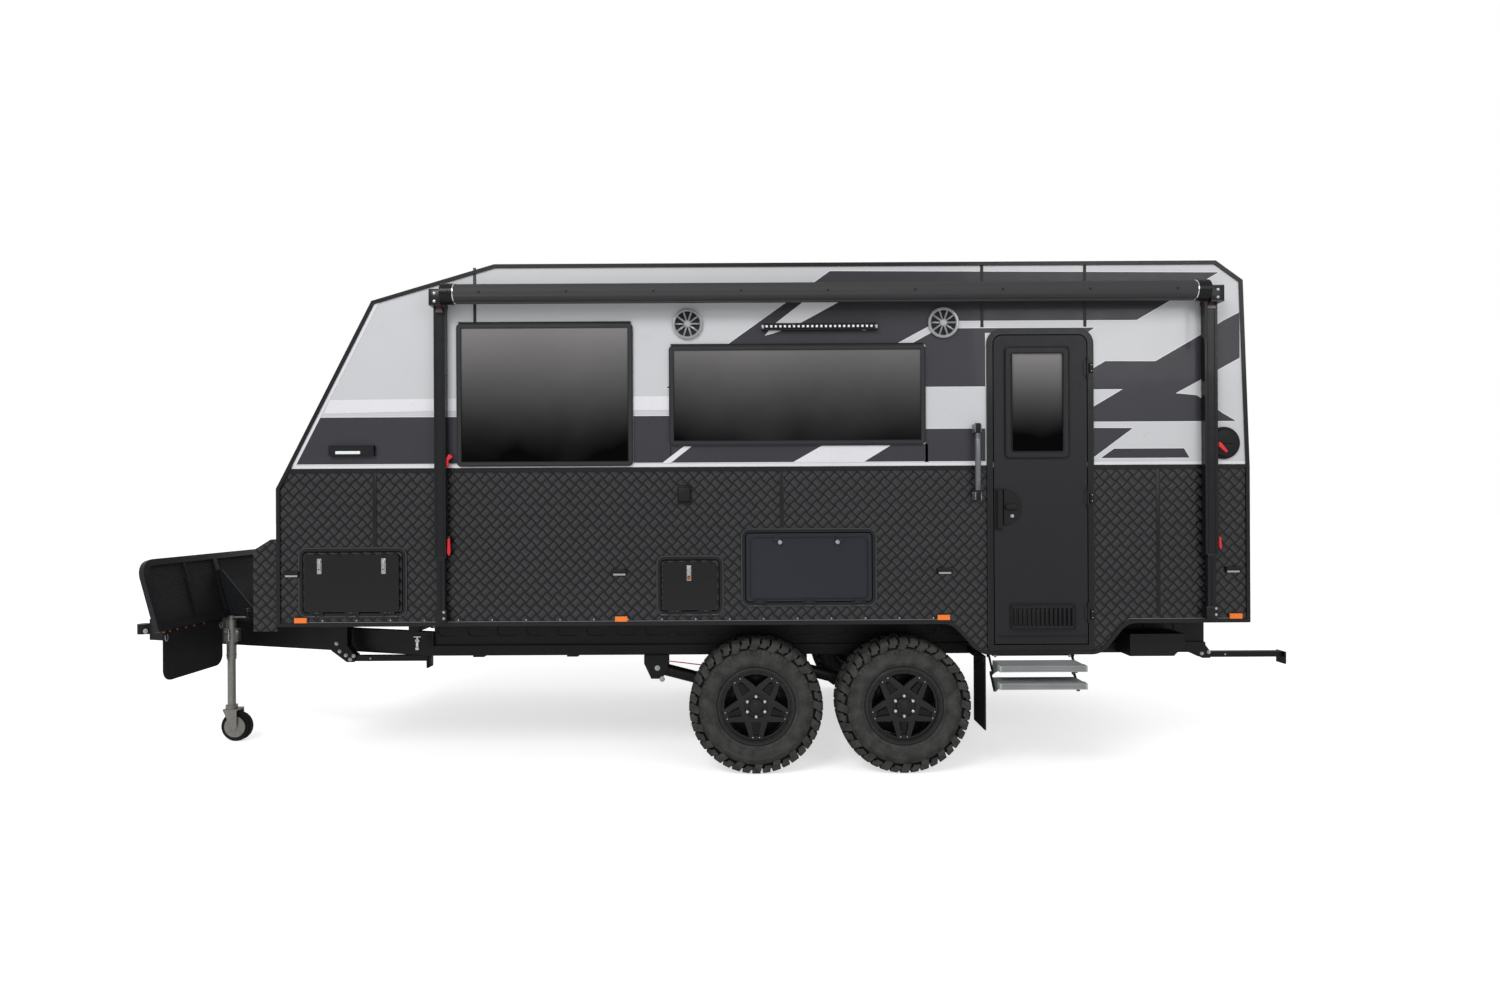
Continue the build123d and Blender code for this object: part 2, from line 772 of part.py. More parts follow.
def drawbar():
    """A-frame of two rails that spread from the nose to the main rails, with two bolsters on top."""
    end_x = rail_front_x
    across = drawbar_width * hypot(1, drawbar_slope)
    points = [(drawbar_nose_x, -drawbar_outer_y(drawbar_nose_x)), (end_x, -drawbar_outer_y(end_x)),
              (end_x, -drawbar_outer_y(end_x) + across),
              (drawbar_nose_x, -drawbar_outer_y(drawbar_nose_x) + across)]
    side = Pos(0, 0, rail_bottom_z) * extrude(Polygon(*points, align=None), drawbar_height)
    frame = side + to_far_side(side)
    top = rail_bottom_z + drawbar_height
    for x in bolster_places:
        half_y = drawbar_outer_y(x)
        frame += block((x - bolster_width / 2, x + bolster_width / 2), (-half_y, half_y), (top, floor_z))
    nose = drawbar_outer_y(drawbar_nose_x)
    frame += block((drawbar_nose_x, drawbar_nose_x + 120), (-nose, nose), (top - 20, top))
    frame += block((drawbar_nose_x, drawbar_nose_x + 120), (-nose, nose), (rail_bottom_z, rail_bottom_z + 20))
    for side in (-1, 1):
        eye = (chain_eye_x, side * nose / 2)
        frame -= rod((*eye, rail_bottom_z - 1), (*eye, rail_bottom_z + 21), chain_eye_radius)
    save("drawbar", [frame])


def coupling():
    """Coupling head with an upright blind socket for the tow pin, bolted to the drawbar's nose."""
    low = coupling_height - socket_depth / 2
    high = coupling_height + socket_depth / 2
    head = Pos(0, 0, (low + high + coupling_cap) / 2) * Cylinder(coupling_radius, socket_depth + coupling_cap)
    neck_z = (coupling_height - coupling_neck_height / 2, coupling_height + coupling_neck_height / 2)
    head += block((0, drawbar_nose_x), (-coupling_neck_width / 2, coupling_neck_width / 2),
                  (max(neck_z[0], low), high + coupling_cap / 2))
    nose = drawbar_outer_y(drawbar_nose_x)
    head += block((drawbar_nose_x - coupling_plate, drawbar_nose_x), (-nose, nose),
                  (rail_bottom_z, rail_bottom_z + drawbar_height))
    head -= Pos(0, 0, coupling_height) * Cylinder(socket_radius, socket_depth)
    save("coupling", [head])


# Stone guard

def guard_length():
    return hypot(guard_bottom_x - guard_top_x, guard_top_z - guard_bottom_z)


def guard_plane():
    lean = Vector(guard_top_x - guard_bottom_x, 0, guard_top_z - guard_bottom_z).normalized()
    normal = Vector(0, 1, 0).cross(lean)
    return Plane(origin=(guard_bottom_x, 0, guard_bottom_z), x_dir=(0, 1, 0), z_dir=normal)


def guard_outline(inset=0.0):
    height = guard_length()
    face = Pos(0, height / 2) * Rectangle(2 * guard_half_width - 2 * inset, height - 2 * inset)
    top = [v for v in face.vertices() if v.Y > height / 2]
    return fillet(top, guard_corner - inset)


def stone_guard():
    height = guard_length()
    ring = guard_outline() - guard_outline(guard_tube)
    for y in (-guard_post_y, guard_post_y):
        ring += Pos(y, height / 2) * Rectangle(guard_tube, height - guard_tube)
    for y in (-guard_stiffener_y, guard_stiffener_y):
        ring += Pos(y, height / 2) * Rectangle(guard_stiffener_width, height - guard_tube)
    plane = guard_plane()
    frame = plane * (Pos(0, 0, -guard_depth / 2) * extrude(ring, guard_depth))
    top = rail_bottom_z + drawbar_height
    strip_x = (guard_bottom_x - 6, guard_bottom_x)
    for side in (-1, 1):
        y = (side * (guard_post_y - 25), side * (guard_post_y + 15))
        foot_x = (guard_bottom_x - 40, guard_bottom_x + 60)
        frame += block(foot_x, (min(y), max(y)), (top, guard_bottom_z + 12))
        brace = [(guard_bottom_x + 20, top), (guard_bottom_x + 250, top),
                 (guard_bottom_x - 50, guard_bottom_z + 330), (guard_bottom_x - 75, guard_bottom_z + 330)]
        brace_y = side * (guard_post_y - 8)
        frame += slab(Polygon(*brace, align=None), brace_y - 4, brace_y + 4)
        flap_y = (side * flap_inner_y, side * flap_outer_y)
        frame += block(strip_x, (min(flap_y), max(flap_y)), (guard_bottom_z - 30, guard_bottom_z + 12))
    save("guard_frame", [frame])
    meshes = []
    edges = [-guard_half_width + guard_tube, -guard_stiffener_y - guard_stiffener_width / 2,
             -guard_stiffener_y + guard_stiffener_width / 2, -guard_post_y - guard_tube / 2,
             -guard_post_y + guard_tube / 2, guard_post_y - guard_tube / 2]
    inside = guard_outline(guard_tube + seat_gap)
    for y0, y1 in ((edges[0], edges[1]), (edges[2], edges[3]), (edges[4], edges[5])):
        strip = Pos((y0 + y1) / 2, height / 2) * Rectangle(y1 - y0 - 2 * seat_gap, height)
        face = inside & strip
        mesh = plane * (Pos(0, 0, -guard_mesh_thickness / 2) * extrude(face, guard_mesh_thickness))
        meshes.append(mesh)
        if y1 < 0:
            meshes.append(to_far_side(mesh))
    save("guard_mesh", meshes)


def rubber_flaps():
    """Stone flaps under the guard and mudflaps behind the rear wheels."""
    top = guard_bottom_z - seat_gap
    centre = Pos(-(flap_inner_y + flap_outer_y) / 2, (top + flap_bottom_z) / 2)
    face = centre * Rectangle(flap_outer_y - flap_inner_y, top - flap_bottom_z)
    low = [v for v in face.vertices() if v.Y < flap_bottom_z + 1]
    face = fillet(low, flap_corner)
    across = Plane((guard_bottom_x, 0, 0), x_dir=(0, 1, 0), z_dir=(1, 0, 0))
    flap = across * extrude(face, flap_thickness)
    mudflap = block((mudflap_x, mudflap_x + flap_thickness), (-mudflap_outer_y, -mudflap_inner_y),
                    (mudflap_bottom_z, mudflap_top_z))
    save("rubber_flaps", both_sides([flap, mudflap]))


def mudflap_hangers():
    """Flat bars that reach out from the rails and carry the mudflaps."""
    bar = block((mudflap_x - flap_thickness, mudflap_x), (-mudflap_outer_y, -rail_outer_y),
                (mudflap_top_z - mudflap_bar_height, mudflap_top_z))
    return both_sides([bar])


# Running gear

def lug_outline(turn, scale=1.0):
    """Corners of one row of lugs in X and Z, seen along the axle."""
    root = tyre_radius - lug_depth
    points = []
    for i in range(lug_count):
        for share, r in ((0.0, root), (0.08, tyre_radius), (0.62, tyre_radius), (lug_foot, root)):
            angle = radians((i + share + turn) * 360 / lug_count)
            points.append((scale * r * cos(angle), scale * r * sin(angle)))
    return points


def lug_feet(turn, radius):
    """Round outline with a corner at both feet of each lug."""
    turns = [radians((i + share + turn) * 360 / lug_count) for i in range(lug_count) for share in (0.0, lug_foot)]
    return [(radius * cos(angle), radius * sin(angle)) for angle in turns]


def bore_outline(radius):
    """Outline of flats that keeps clear of a round of this radius."""
    clear = radius / cos(radians(180 / bore_sides))
    turns = [radians(360 * i / bore_sides) for i in range(bore_sides)]
    return [(clear * cos(angle), clear * sin(angle)) for angle in turns]


def flat_sided(near, near_y, far, far_y):
    """Solid with flat sides between two outlines across the axle, each with as many corners."""
    first = [(x, near_y, z) for x, z in near]
    last = [(x, far_y, z) for x, z in far]
    sides = [[first[i - 1], first[i], last[i], last[i - 1]] for i in range(len(first))]
    return Solid(Shell([Face(Wire.make_polygon(corners, close=True)) for corners in [first, last, *sides]]))


def tyre():
    """Mud tyre about the Y axis: two staggered rows of lugs that wrap over the shoulders."""
    half = tyre_width / 2
    bead_y = rim_width / 2 - seat_gap
    lip_top = (rim_diameter / 2 + rim_lip + 2) / cos(radians(180 * lug_foot / lug_count))
    root = (tyre_radius - lug_depth) * lug_shoulder_scale
    shape = None
    for side, turn in ((-1, 0.0), (1, 0.5)):
        lugs = lug_outline(turn)
        shoulder = lug_outline(turn, lug_shoulder_scale)
        sidewall = lug_feet(turn, sidewall_radius)
        row = flat_sided(lugs, 0.0, lugs, side * lug_row_width)
        row += flat_sided(lugs, side * lug_row_width, shoulder, side * lug_shoulder_y)
        row += flat_sided(lug_feet(turn, root), side * lug_shoulder_y, sidewall, side * half)
        row -= flat_sided(lug_feet(turn, lip_top), side * bead_y, sidewall, side * (half + 0.01))
        shape = row if shape is None else shape + row
    bore = bore_outline(rim_diameter / 2 + seat_gap)
    return shape - flat_sided(bore, -tyre_width, bore, tyre_width)


def spoke_window():
    """Opening between two star spokes, pointing along +X, with its point towards the hub."""
    outer = spoke_window_outer
    return Polygon((spoke_window_inner, 0), (spoke_window_inner + 14, -12), (outer * cos(radians(24)),
                   -outer * sin(radians(24))), (outer * cos(radians(8)), -outer * sin(radians(8))),
                   (outer * cos(radians(8)), outer * sin(radians(8))), (outer * cos(radians(24)),
                   outer * sin(radians(24))), (spoke_window_inner + 14, 12), align=None)


def rim():
    """Star wheel about the Y axis, its face towards -Y, fused with its hub and brake drum."""
    outer = rim_diameter / 2
    lip = outer + rim_lip
    half = rim_width / 2
    edge = 12.0
    barrel = Polygon((outer - rim_wall, -half - edge), (lip, -half - edge), (lip, -half), (outer, -half),
                     (outer, half), (lip, half), (lip, half + edge), (outer - rim_wall, half + edge),
                     align=None)
    wheel = revolve(barrel, Axis.Y)
    face_y = -half + wheel_face_depth + 2
    front_y = face_y - wheel_face_depth
    disc = rod((0, front_y, 0), (0, face_y, 0), outer - rim_wall + 1)
    low, high = spoke_pocket
    pocket = Polygon((low, -30), (high, -16), (high, 16), (low, 30), align=None)
    for i in range(spoke_count):
        turn = Rot(0, 90 + i * 360 / spoke_count, 0)
        disc -= turn * Rot(0, 180 / spoke_count, 0) * slab(spoke_window(), front_y - 1, face_y + 1)
        disc -= turn * slab(pocket, front_y - 1, front_y + spoke_pocket_depth)
    wheel += disc
    wheel -= rod((0, front_y - 1, 0), (0, front_y + 10, 0), hub_recess_radius)
    wheel += rod((0, front_y - 6, 0), (0, face_y, 0), hub_cap_radius)
    for i in range(nut_count):
        angle = radians(30 + i * 360 / nut_count)
        place = (nut_circle * cos(angle), nut_circle * sin(angle))
        wheel += rod((place[0], front_y - 4, place[1]), (place[0], face_y, place[1]), nut_radius)
    drum_inner = half - 22
    wheel += rod((0, face_y, 0), (0, drum_inner, 0), hub_radius)
    wheel += rod((0, drum_inner - drum_width, 0), (0, drum_inner, 0), drum_radius)
    wheel -= rod((0, face_y - 6, 0), (0, drum_inner + 1, 0), stub_radius + running_clearance)
    return wheel


def axle_places():
    return [("front", front_axle_x), ("rear", front_axle_x + axle_spacing)]


def wheels():
    for place, x in axle_places():
        for side, y in (("near", -wheel_y), ("far", wheel_y)):
            centre = Pos(x, y, tyre_radius)
            turn = Rot(0, 0, 0) if y < 0 else Rot(0, 0, 180)
            save(f"tyre_{place}_{side}", [centre * turn * tyre()])
            save(f"rim_{place}_{side}", [centre * turn * rim()])


def trailing_arms():
    """Trailing arms with their stub axles and brake backplates, one for each wheel."""
    arms = []
    units = []
    for _, x in axle_places():
        pivot_x = x - pivot_ahead
        y = (-arm_y - arm_width / 2, -arm_y + arm_width / 2)
        bar = rod((pivot_x, -arm_y, pivot_z), (x, -arm_y, tyre_radius), arm_tube_radius)
        bar += rod((x, y[0], tyre_radius), (x, y[1], tyre_radius), pivot_boss_radius)
        bar += rod((pivot_x, y[0], pivot_z), (pivot_x, y[1], pivot_z), pivot_boss_radius)
        bar -= rod((pivot_x, y[0] - 1, pivot_z), (pivot_x, y[1] + 1, pivot_z), 12 + seat_gap)
        hub_end = -wheel_y - rim_width / 2 + 40
        bar += rod((x, y[0] + 5, tyre_radius), (x, hub_end, tyre_radius), stub_radius)
        back = -wheel_y + rim_width / 2 - 22 + 6
        bar += rod((x, back, tyre_radius), (x, back + 5, tyre_radius), drum_radius)
        bar += rod((x, y[0], tyre_radius), (x, back + 4, tyre_radius), 48.0)
        seat_x = x - spring_ahead
        seat_z = tyre_radius + arm_tube_radius + (pivot_z - tyre_radius) * spring_ahead / pivot_ahead + 20
        bar += rod((seat_x, -arm_y, seat_z - 40), (seat_x, -arm_y, seat_z), spring_radius - 24)
        arms.append(bar)
        spring = rod((seat_x, -arm_y, seat_z), (seat_x, -arm_y, rail_bottom_z), spring_radius)
        units.append(spring)
        foot = (x - 105, -damper_y, tyre_radius + 28)
        head = (x - 190, -damper_y, rail_bottom_z + 34)
        mid = tuple((a + b) / 2 for a, b in zip(foot, head))
        damper = rod(foot, mid, damper_radius - 4) + rod(mid, head, damper_radius)
        damper += rod((foot[0], -damper_y, foot[2]), (foot[0], y[0], foot[2]), 9.0)
        damper += rod((head[0], -damper_y, head[2]), (head[0], -rail_outer_y, head[2]), 9.0)
        units.append(damper)
    save("trailing_arms", both_sides(arms))
    save("springs_dampers", both_sides(units))


def underbody_tanks():
    """Two water tanks between the rails and the low box at the rear."""
    tanks = []
    inner = rail_outer_y - rail_width - tank_clearance
    for x in tank_places:
        tank = block(x, (-inner, inner), (tank_bottom_z, floor_z))
        tanks.append(fillet(tank.edges().filter_by(Axis.Z), 40.0))
    (x0, x1), (z0, z1) = low_box_x, low_box_z
    slope = (z1 - z0) / 2
    rear = [(x0, z1), (x0, z0), (x1 - slope, z0), (x1, z1 - slope), (x1, z1)]
    box = slab(Polygon(*rear, align=None), -low_box_outer_y, -rail_outer_y)
    save("underbody_tanks", tanks + [box])


# Corner legs

def leg(length):
    """Leg about its pivot at the origin, stowed towards +X."""
    half = leg_width / 2
    bar = block((0, length), (-half, half), (-leg_height / 2, leg_height / 2))
    bar += rod((0, -half, 0), (0, half, 0), leg_height / 2)
    foot_x = (length - leg_foot_thickness, length)
    bar += block(foot_x, (-leg_foot_length / 2, leg_foot_length / 2), (-60.0, 18.0))
    return bar - rod((0, -half - 1, 0), (0, half + 1, 0), leg_pin_radius + running_clearance)


def leg_bracket(pivot_x, back):
    """Clevis that hangs from the floor and carries the leg's pin."""
    gap = leg_width / 2 + leg_side_gap
    wide = gap + leg_plate
    top = floor_z - 199
    bracket = block((pivot_x - back, pivot_x - 26), (-wide, wide), (top - 1, floor_z))
    for edge in (-1, 1):
        y = (edge * gap, edge * (gap + leg_plate))
        outline = Polygon((pivot_x - back, top), (pivot_x - back, top - 31), (pivot_x - 30, leg_pivot_z - 22),
                          (pivot_x + 20, leg_pivot_z - 22), (pivot_x + 20, leg_pivot_z + 22),
                          (pivot_x - 26, top), align=None)
        bracket += slab(outline, min(y), max(y))
    bracket += rod((pivot_x, -wide, leg_pivot_z), (pivot_x, wide, leg_pivot_z), leg_pin_radius)
    return Pos(0, -leg_y, 0) * bracket


def corner_legs():
    """Four legs; returns the clevises that carry them."""
    brackets = []
    for place, x, back in (("front", leg_front_pivot_x, 130.0), ("rear", leg_rear_pivot_x, 190.0)):
        brackets.append(leg_bracket(x, back))
        for side, y in (("near", -leg_y), ("far", leg_y)):
            save(f"leg_{place}_{side}", [Pos(x, y, leg_pivot_z) * leg(leg_length)])
    return both_sides(brackets)


# Jockey wheel

def jockey():
    """Wind-up jockey wheel clamped to the kerb-side drawbar rail."""
    centre = (jockey_x, -jockey_y)
    sleeve = rod((*centre, sleeve_bottom_z), (*centre, sleeve_top_z), sleeve_radius)
    sleeve -= rod((*centre, sleeve_bottom_z - 1), (*centre, sleeve_top_z - 12), sleeve_bore)
    clamp_x = (jockey_x - 44, jockey_x + 50)
    rail_face = -drawbar_outer_y(clamp_x[0])
    clamp = block(clamp_x, (-jockey_y - 10, rail_face + 16), (680.0, 770.0))
    clamp -= rod((*centre, 600.0), (*centre, 800.0), sleeve_bore)
    across = drawbar_width * hypot(1, drawbar_slope)
    ends = (jockey_x - 80, jockey_x + 80)
    points = [(ends[0], -drawbar_outer_y(ends[0])), (ends[1], -drawbar_outer_y(ends[1])),
              (ends[1], -drawbar_outer_y(ends[1]) + across), (ends[0], -drawbar_outer_y(ends[0]) + across)]
    clamp -= Pos(0, 0, 600) * extrude(Polygon(*points, align=None), 300)
    sleeve += clamp
    crank_z = sleeve_top_z + 16
    grip_x = jockey_x + 112
    sleeve += rod((*centre, sleeve_top_z), (*centre, crank_z + 10), 16.0)
    sleeve += rod((jockey_x, -jockey_y, crank_z), (grip_x + 8, -jockey_y, crank_z), 7.0)
    sleeve += rod((grip_x, -jockey_y, crank_z), (grip_x, -jockey_y, crank_z + 60), 11.0)
    save("jockey_sleeve", [sleeve])
    crown_z = 2 * jockey_wheel_radius + 22
    tube = rod((*centre, crown_z + 12), (*centre, sleeve_bottom_z + jockey_overlap), jockey_tube_radius)
    tube += rod((*centre, crown_z + 12), (*centre, crown_z + 24), jockey_tube_radius + 12)
    save("jockey_tube", [tube])
    axle_x = jockey_x + jockey_trail
    half = jockey_wheel_width / 2
    fork = rod((*centre, crown_z), (*centre, crown_z + 11.6), jockey_tube_radius + 12)
    wide = half + 14
    fork += block((jockey_x - 36, axle_x + 20), (-jockey_y - wide, -jockey_y + wide), (crown_z - 10, crown_z))
    for edge in (-1, 1):
        y = sorted((-jockey_y + edge * (half + 7), -jockey_y + edge * wide))
        outline = Polygon((jockey_x - 36, crown_z - 5), (axle_x + 20, crown_z - 5),
                          (axle_x + 20, jockey_wheel_radius), (axle_x, jockey_wheel_radius - 20),
                          (axle_x - 20, jockey_wheel_radius), align=None)
        fork += slab(outline, *y)
    axle = (axle_x, -jockey_y - wide, jockey_wheel_radius), (axle_x, -jockey_y + wide, jockey_wheel_radius)
    fork += rod(*axle, jockey_axle_radius)
    save("jockey_fork", [fork])
    bore = jockey_axle_radius + running_clearance
    profile = Polygon((bore, -half), (60, -half), (70, -half + 10), (90, -half + 4),
                      (jockey_wheel_radius, -half + 16), (jockey_wheel_radius, half - 16), (90, half - 4),
                      (70, half - 10), (60, half), (bore, half), align=None)
    wheel = Pos(axle_x, -jockey_y, jockey_wheel_radius) * revolve(profile, Axis.Y)
    save("jockey_wheel", [wheel])


# Folding step

step_run = (-step_link_length * cos(radians(step_link_angle)),
            -step_link_length * sin(radians(step_link_angle)))
step_rail_pin = (-step_pin_y, step_pin_z)
step_upper_pin = (step_rail_pin[0] + step_run[0], step_rail_pin[1] + step_run[1])
step_hang_pin = (step_upper_pin[0] + step_lower_pin_in, step_upper_pin[1] - step_lower_pin_down)
step_lower_pin = (step_hang_pin[0] + step_run[0], step_hang_pin[1] + step_run[1])


def step_ends():
    """Inner edge of the links at each end of the step, and the way out from it."""
    link = step_plate
    return [(step_x[0] + link, -1), (step_x[1] - link, 1)]


def step_layer(end, layer):
    """X limits of one of the plates at an end: links are layer 0, the treads' brackets -1, the rail's +1."""
    x, out = end
    start = x + out * layer * (step_plate + step_side_gap)
    return sorted((start, start + out * step_plate))


def step_links(pin):
    """Pair of links that hang from a pin line, one at each end of the step."""
    outline = Pos(pin[0] + step_run[0] / 2, pin[1] + step_run[1] / 2) * Rot(0, 0, step_link_angle)
    outline *= SlotCenterToCenter(step_link_length, step_link_width)
    for y, z in (pin, (pin[0] + step_run[0], pin[1] + step_run[1])):
        outline -= Pos(y, z) * Circle(step_pin_radius + running_clearance)
    return [cross_slab(outline, *step_layer(end, 0)) for end in step_ends()]


def step_pins(pin, layer):
    """Pins that stand out of the plates of a layer into the bores of the links."""
    pins = []
    for end in step_ends():
        plate = step_layer(end, layer)
        link = step_layer(end, 0)
        reach = (min(plate[0], link[0]), max(plate[1], link[1]))
        pins.append(rod((reach[0], *pin), (reach[1], *pin), step_pin_radius))
    return pins


def tread(pin, top_z, next_pin=None):
    """Tread with its nose towards -Y, its end brackets and its pins."""
    inner = [step_layer(end, -1) for end in step_ends()]
    y = (-step_front_y, -step_front_y + step_tread_depth)
    z = (top_z - step_tread_height, top_z)
    board = block((inner[0][0], inner[1][1]), y, z)
    board -= block((inner[0][1], inner[1][0]), (y[0] + 14, y[1] - 14), (z[0] - 1, top_z - 8))
    for layer in inner:
        outline = Polygon((y[0] + 50, z[0] + 1), (pin[0] - 12, pin[1] - 6), (pin[0], pin[1] - 12),
                          (pin[0] + 12, pin[1] - 6), (y[1], z[0] + 1), align=None)
        if next_pin:
            outline += Polygon((pin[0], pin[1] - 12), (next_pin[0], next_pin[1] - 12),
                               (next_pin[0] + 12, next_pin[1]), (y[1], z[0] + 1), (pin[0] - 10, z[0] + 1),
                               align=None)
        board += cross_slab(outline, *layer)
    for piece in step_pins(pin, -1):
        board += piece
    if next_pin:
        for piece in step_pins(next_pin, -1):
            board += piece
    return board


def folding_step():
    """Two treads on swinging links; returns the rail and the brackets that carry them."""
    inner = [step_layer(end, -1) for end in step_ends()]
    y = (-inner_half_width, -inner_half_width + step_rail_depth)
    rail = [block((inner[0][1] + 6, inner[1][0] - 6), y, (drop_z - step_rail_height, drop_z))]
    for end, pin in zip(step_ends(), step_pins(step_rail_pin, 1)):
        outline = Pos(*step_rail_pin) * Circle(12.0)
        outline += Polygon((step_rail_pin[0] - 12, step_pin_z), (step_rail_pin[0] + 12, step_pin_z),
                           (step_rail_pin[0] + 30, drop_z), (step_rail_pin[0] - 12, drop_z), align=None)
        rail.append(cross_slab(outline, *step_layer(end, 1)) + pin)
    save("step_links_upper", step_links(step_rail_pin))
    save("step_tread_upper", [tread(step_upper_pin, step_tread_top_z, step_hang_pin)])
    save("step_links_lower", step_links(step_hang_pin))
    save("step_tread_lower", [tread(step_lower_pin, step_tread_top_z - step_drop)])
    return rail


# Awning

def awning():
    y = -awning_axis_y
    roller = rod((awning_x[0], y, awning_axis_z), (awning_x[1], y, awning_axis_z), awning_radius)
    for a, b in ((awning_hub_x[0], awning_x[0]), (awning_x[1], awning_hub_x[1])):
        roller += rod((a, y, awning_axis_z), (b, y, awning_axis_z), awning_radius + 6)
    save("awning_roller", [roller])
    arms = []
    for x in awning_arm_x:
        arm_y_high = -body_half_width - awning_arm_gap
        arm_y_low = arm_y_high - awning_arm_depth
        upper = block(x, (arm_y_low, arm_y_high), (awning_arm_joint_z, awning_axis_z - 70))
        mid = (x[0] + x[1]) / 2
        slim = block((mid - 24, mid + 24), (arm_y_high - awning_arm_depth + 6, arm_y_high - 6),
                     (awning_arm_bottom_z, awning_arm_joint_z))
        head = block(x, (y - 30, -body_half_width), (awning_axis_z - 70, awning_axis_z + 24))
        foot_z = floor_z + trim_width + 6
        foot = block((mid - 30, mid + 30), (arm_y_high - awning_arm_depth, -body_half_width),
                     (foot_z, foot_z + 60))
        arms.append(upper + slim + head + foot)
    save("awning_arms", arms)


# Fittings on the walls

def speaker(x):
    """Round speaker with a spoked grille and a centre cap."""
    y = -body_half_width
    front = y - speaker_proud
    piece = rod((x, front, speaker_z), (x, y, speaker_z), speaker_radius)
    piece -= rod((x, front - 1, speaker_z), (x, front + 11, speaker_z), speaker_cone_radius)
    reach = speaker_cone_radius + 4
    bar = slab(Pos(reach / 2, 0) * Rectangle(reach, 9), front + 2, y - 2)
    for i in range(speaker_spokes):
        piece += Pos(x, 0, speaker_z) * Rot(0, i * 360 / speaker_spokes, 0) * bar
    return piece + rod((x, front, speaker_z), (x, y, speaker_z), speaker_cap_radius)


def light_bar():
    """Housing of the light bar on its two feet, and the lens that sits on it."""
    y = -body_half_width
    x0, x1 = light_bar_x
    housing = block(light_bar_x, (y - light_bar_proud + 4, y - 10), light_bar_z)
    for x in (x0 + 20, x1 - 50):
        housing += block((x, x + 30), (y - 12, y), (light_bar_z[0] + 6, light_bar_z[1] - 6))
    lens = block((x0 + 14, x1 - 14), (y - light_bar_proud, y - light_bar_proud + 4),
                 (light_bar_z[0] + 8, light_bar_z[1] - 8))
    return housing, lens


def fittings():
    y = -body_half_width
    housing, lens = light_bar()
    reach = lamp_half_length
    lamp_y = (y - side_lamp_proud, y)
    clear = [lens] + [block((x - reach, x + reach), lamp_y, side_lamp_z) for x in side_lamp_x]
    save("clear_lamps", clear)
    amber = [block((x - reach, x + reach), (y - marker_proud, y), marker_z) for x in marker_x]
    save("amber_lamps", both_sides(amber))
    grab = rod((grab_x, y - grab_stand_off, grab_z[0]), (grab_x, y - grab_stand_off, grab_z[1]), grab_radius)
    for z in (grab_z[0] + 20, grab_z[1] - 20):
        grab += block((grab_x - 20, grab_x + 20), (y - grab_stand_off - 10, y), (z - 24, z + 24))
    black = [housing, grab, block(outlet_x, (y - side_lamp_proud, y), outlet_z),
             block(porch_lamp_x, (y - porch_lamp_proud, y), porch_lamp_z),
             rod((round_cap_x, y - 10, round_cap_z), (round_cap_x, y, round_cap_z), round_cap_radius)]
    black += [speaker(x) for x in speaker_x]
    save("wall_fittings", black)
    lamp = block((rear_x, rear_x + tail_lamp_proud), tail_lamp_y, tail_lamp_z)
    save("tail_lamps", both_sides([lamp]))


# Roof

vent_hinge_x = roof_vent_x[0] - vent_rim - knuckle_stand_off
vent_hinge_z = roof_z + roof_vent_height + seat_gap
vent_hinge_places = (-140.0, 140.0)


def roof_equipment():
    top = roof_z + air_unit_height
    unit = block(air_unit, (-air_unit_half_width, air_unit_half_width), (roof_z, top))
    unit = fillet(unit.edges().filter_by(Axis.Z), air_unit_corner)
    unit = chamfer(unit.faces().sort_by(Axis.Z)[-1].edges(), 50.0)
    x0, x1 = roof_vent_x
    half = roof_vent_half_width
    ring_top = roof_z + roof_vent_height
    ring = block((x0 - vent_rim, x1 + vent_rim), (-half - vent_rim, half + vent_rim), (roof_z, ring_top))
    ring += block((x0, x1), (-half, half), (roof_z - wall, roof_z + 1))
    ring -= block((x0 + 12, x1 - 12), (-half + 12, half - 12), (roof_z - wall - 1, ring_top + 1))
    lid = block((x0 - vent_rim + 4, x1 + vent_rim - 4), (-half - vent_rim + 4, half + vent_rim - 4),
                (vent_hinge_z, vent_hinge_z + vent_lid_height))
    lid = chamfer(lid.faces().sort_by(Axis.Z)[-1].edges(), 18.0)
    reach = knuckle_length / 2
    x, z = vent_hinge_x, vent_hinge_z
    for y in vent_hinge_places:
        lid += rod((x, y - reach, z), (x, y + reach, z), knuckle_radius)
        lid += block((x, x0), (y - reach, y + reach), (z, z + leaf_thickness))
        for side in (-1, 1):
            start = y + side * (reach + knuckle_play)
            span = sorted((start, start + side * reach))
            ring += rod((x, span[0], z), (x, span[1], z), knuckle_radius)
            ring += block((x, x0 - vent_rim + 1), span, (roof_z + 4, ring_top))
    save("roof_equipment", [unit, ring])
    save("vent_lid", [lid])


def build():
    side_walls()
    cross_panels()
    floor()
    edge_trim()
    windows()
    openings()
    front_boot()
    main_frame()
    drawbar()
    coupling()
    stone_guard()
    rubber_flaps()
    wheels()
    trailing_arms()
    underbody_tanks()
    save("underbody_brackets", corner_legs() + folding_step() + mudflap_hangers())
    jockey()
    awning()
    fittings()
    roof_equipment()


build()
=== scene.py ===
"""Looks of a twin-axle off-road caravan: finishes, trim, tyres, fittings, camera and light."""
import bpy
from math import cos, pi, radians, sin
from mathutils import Matrix, Vector


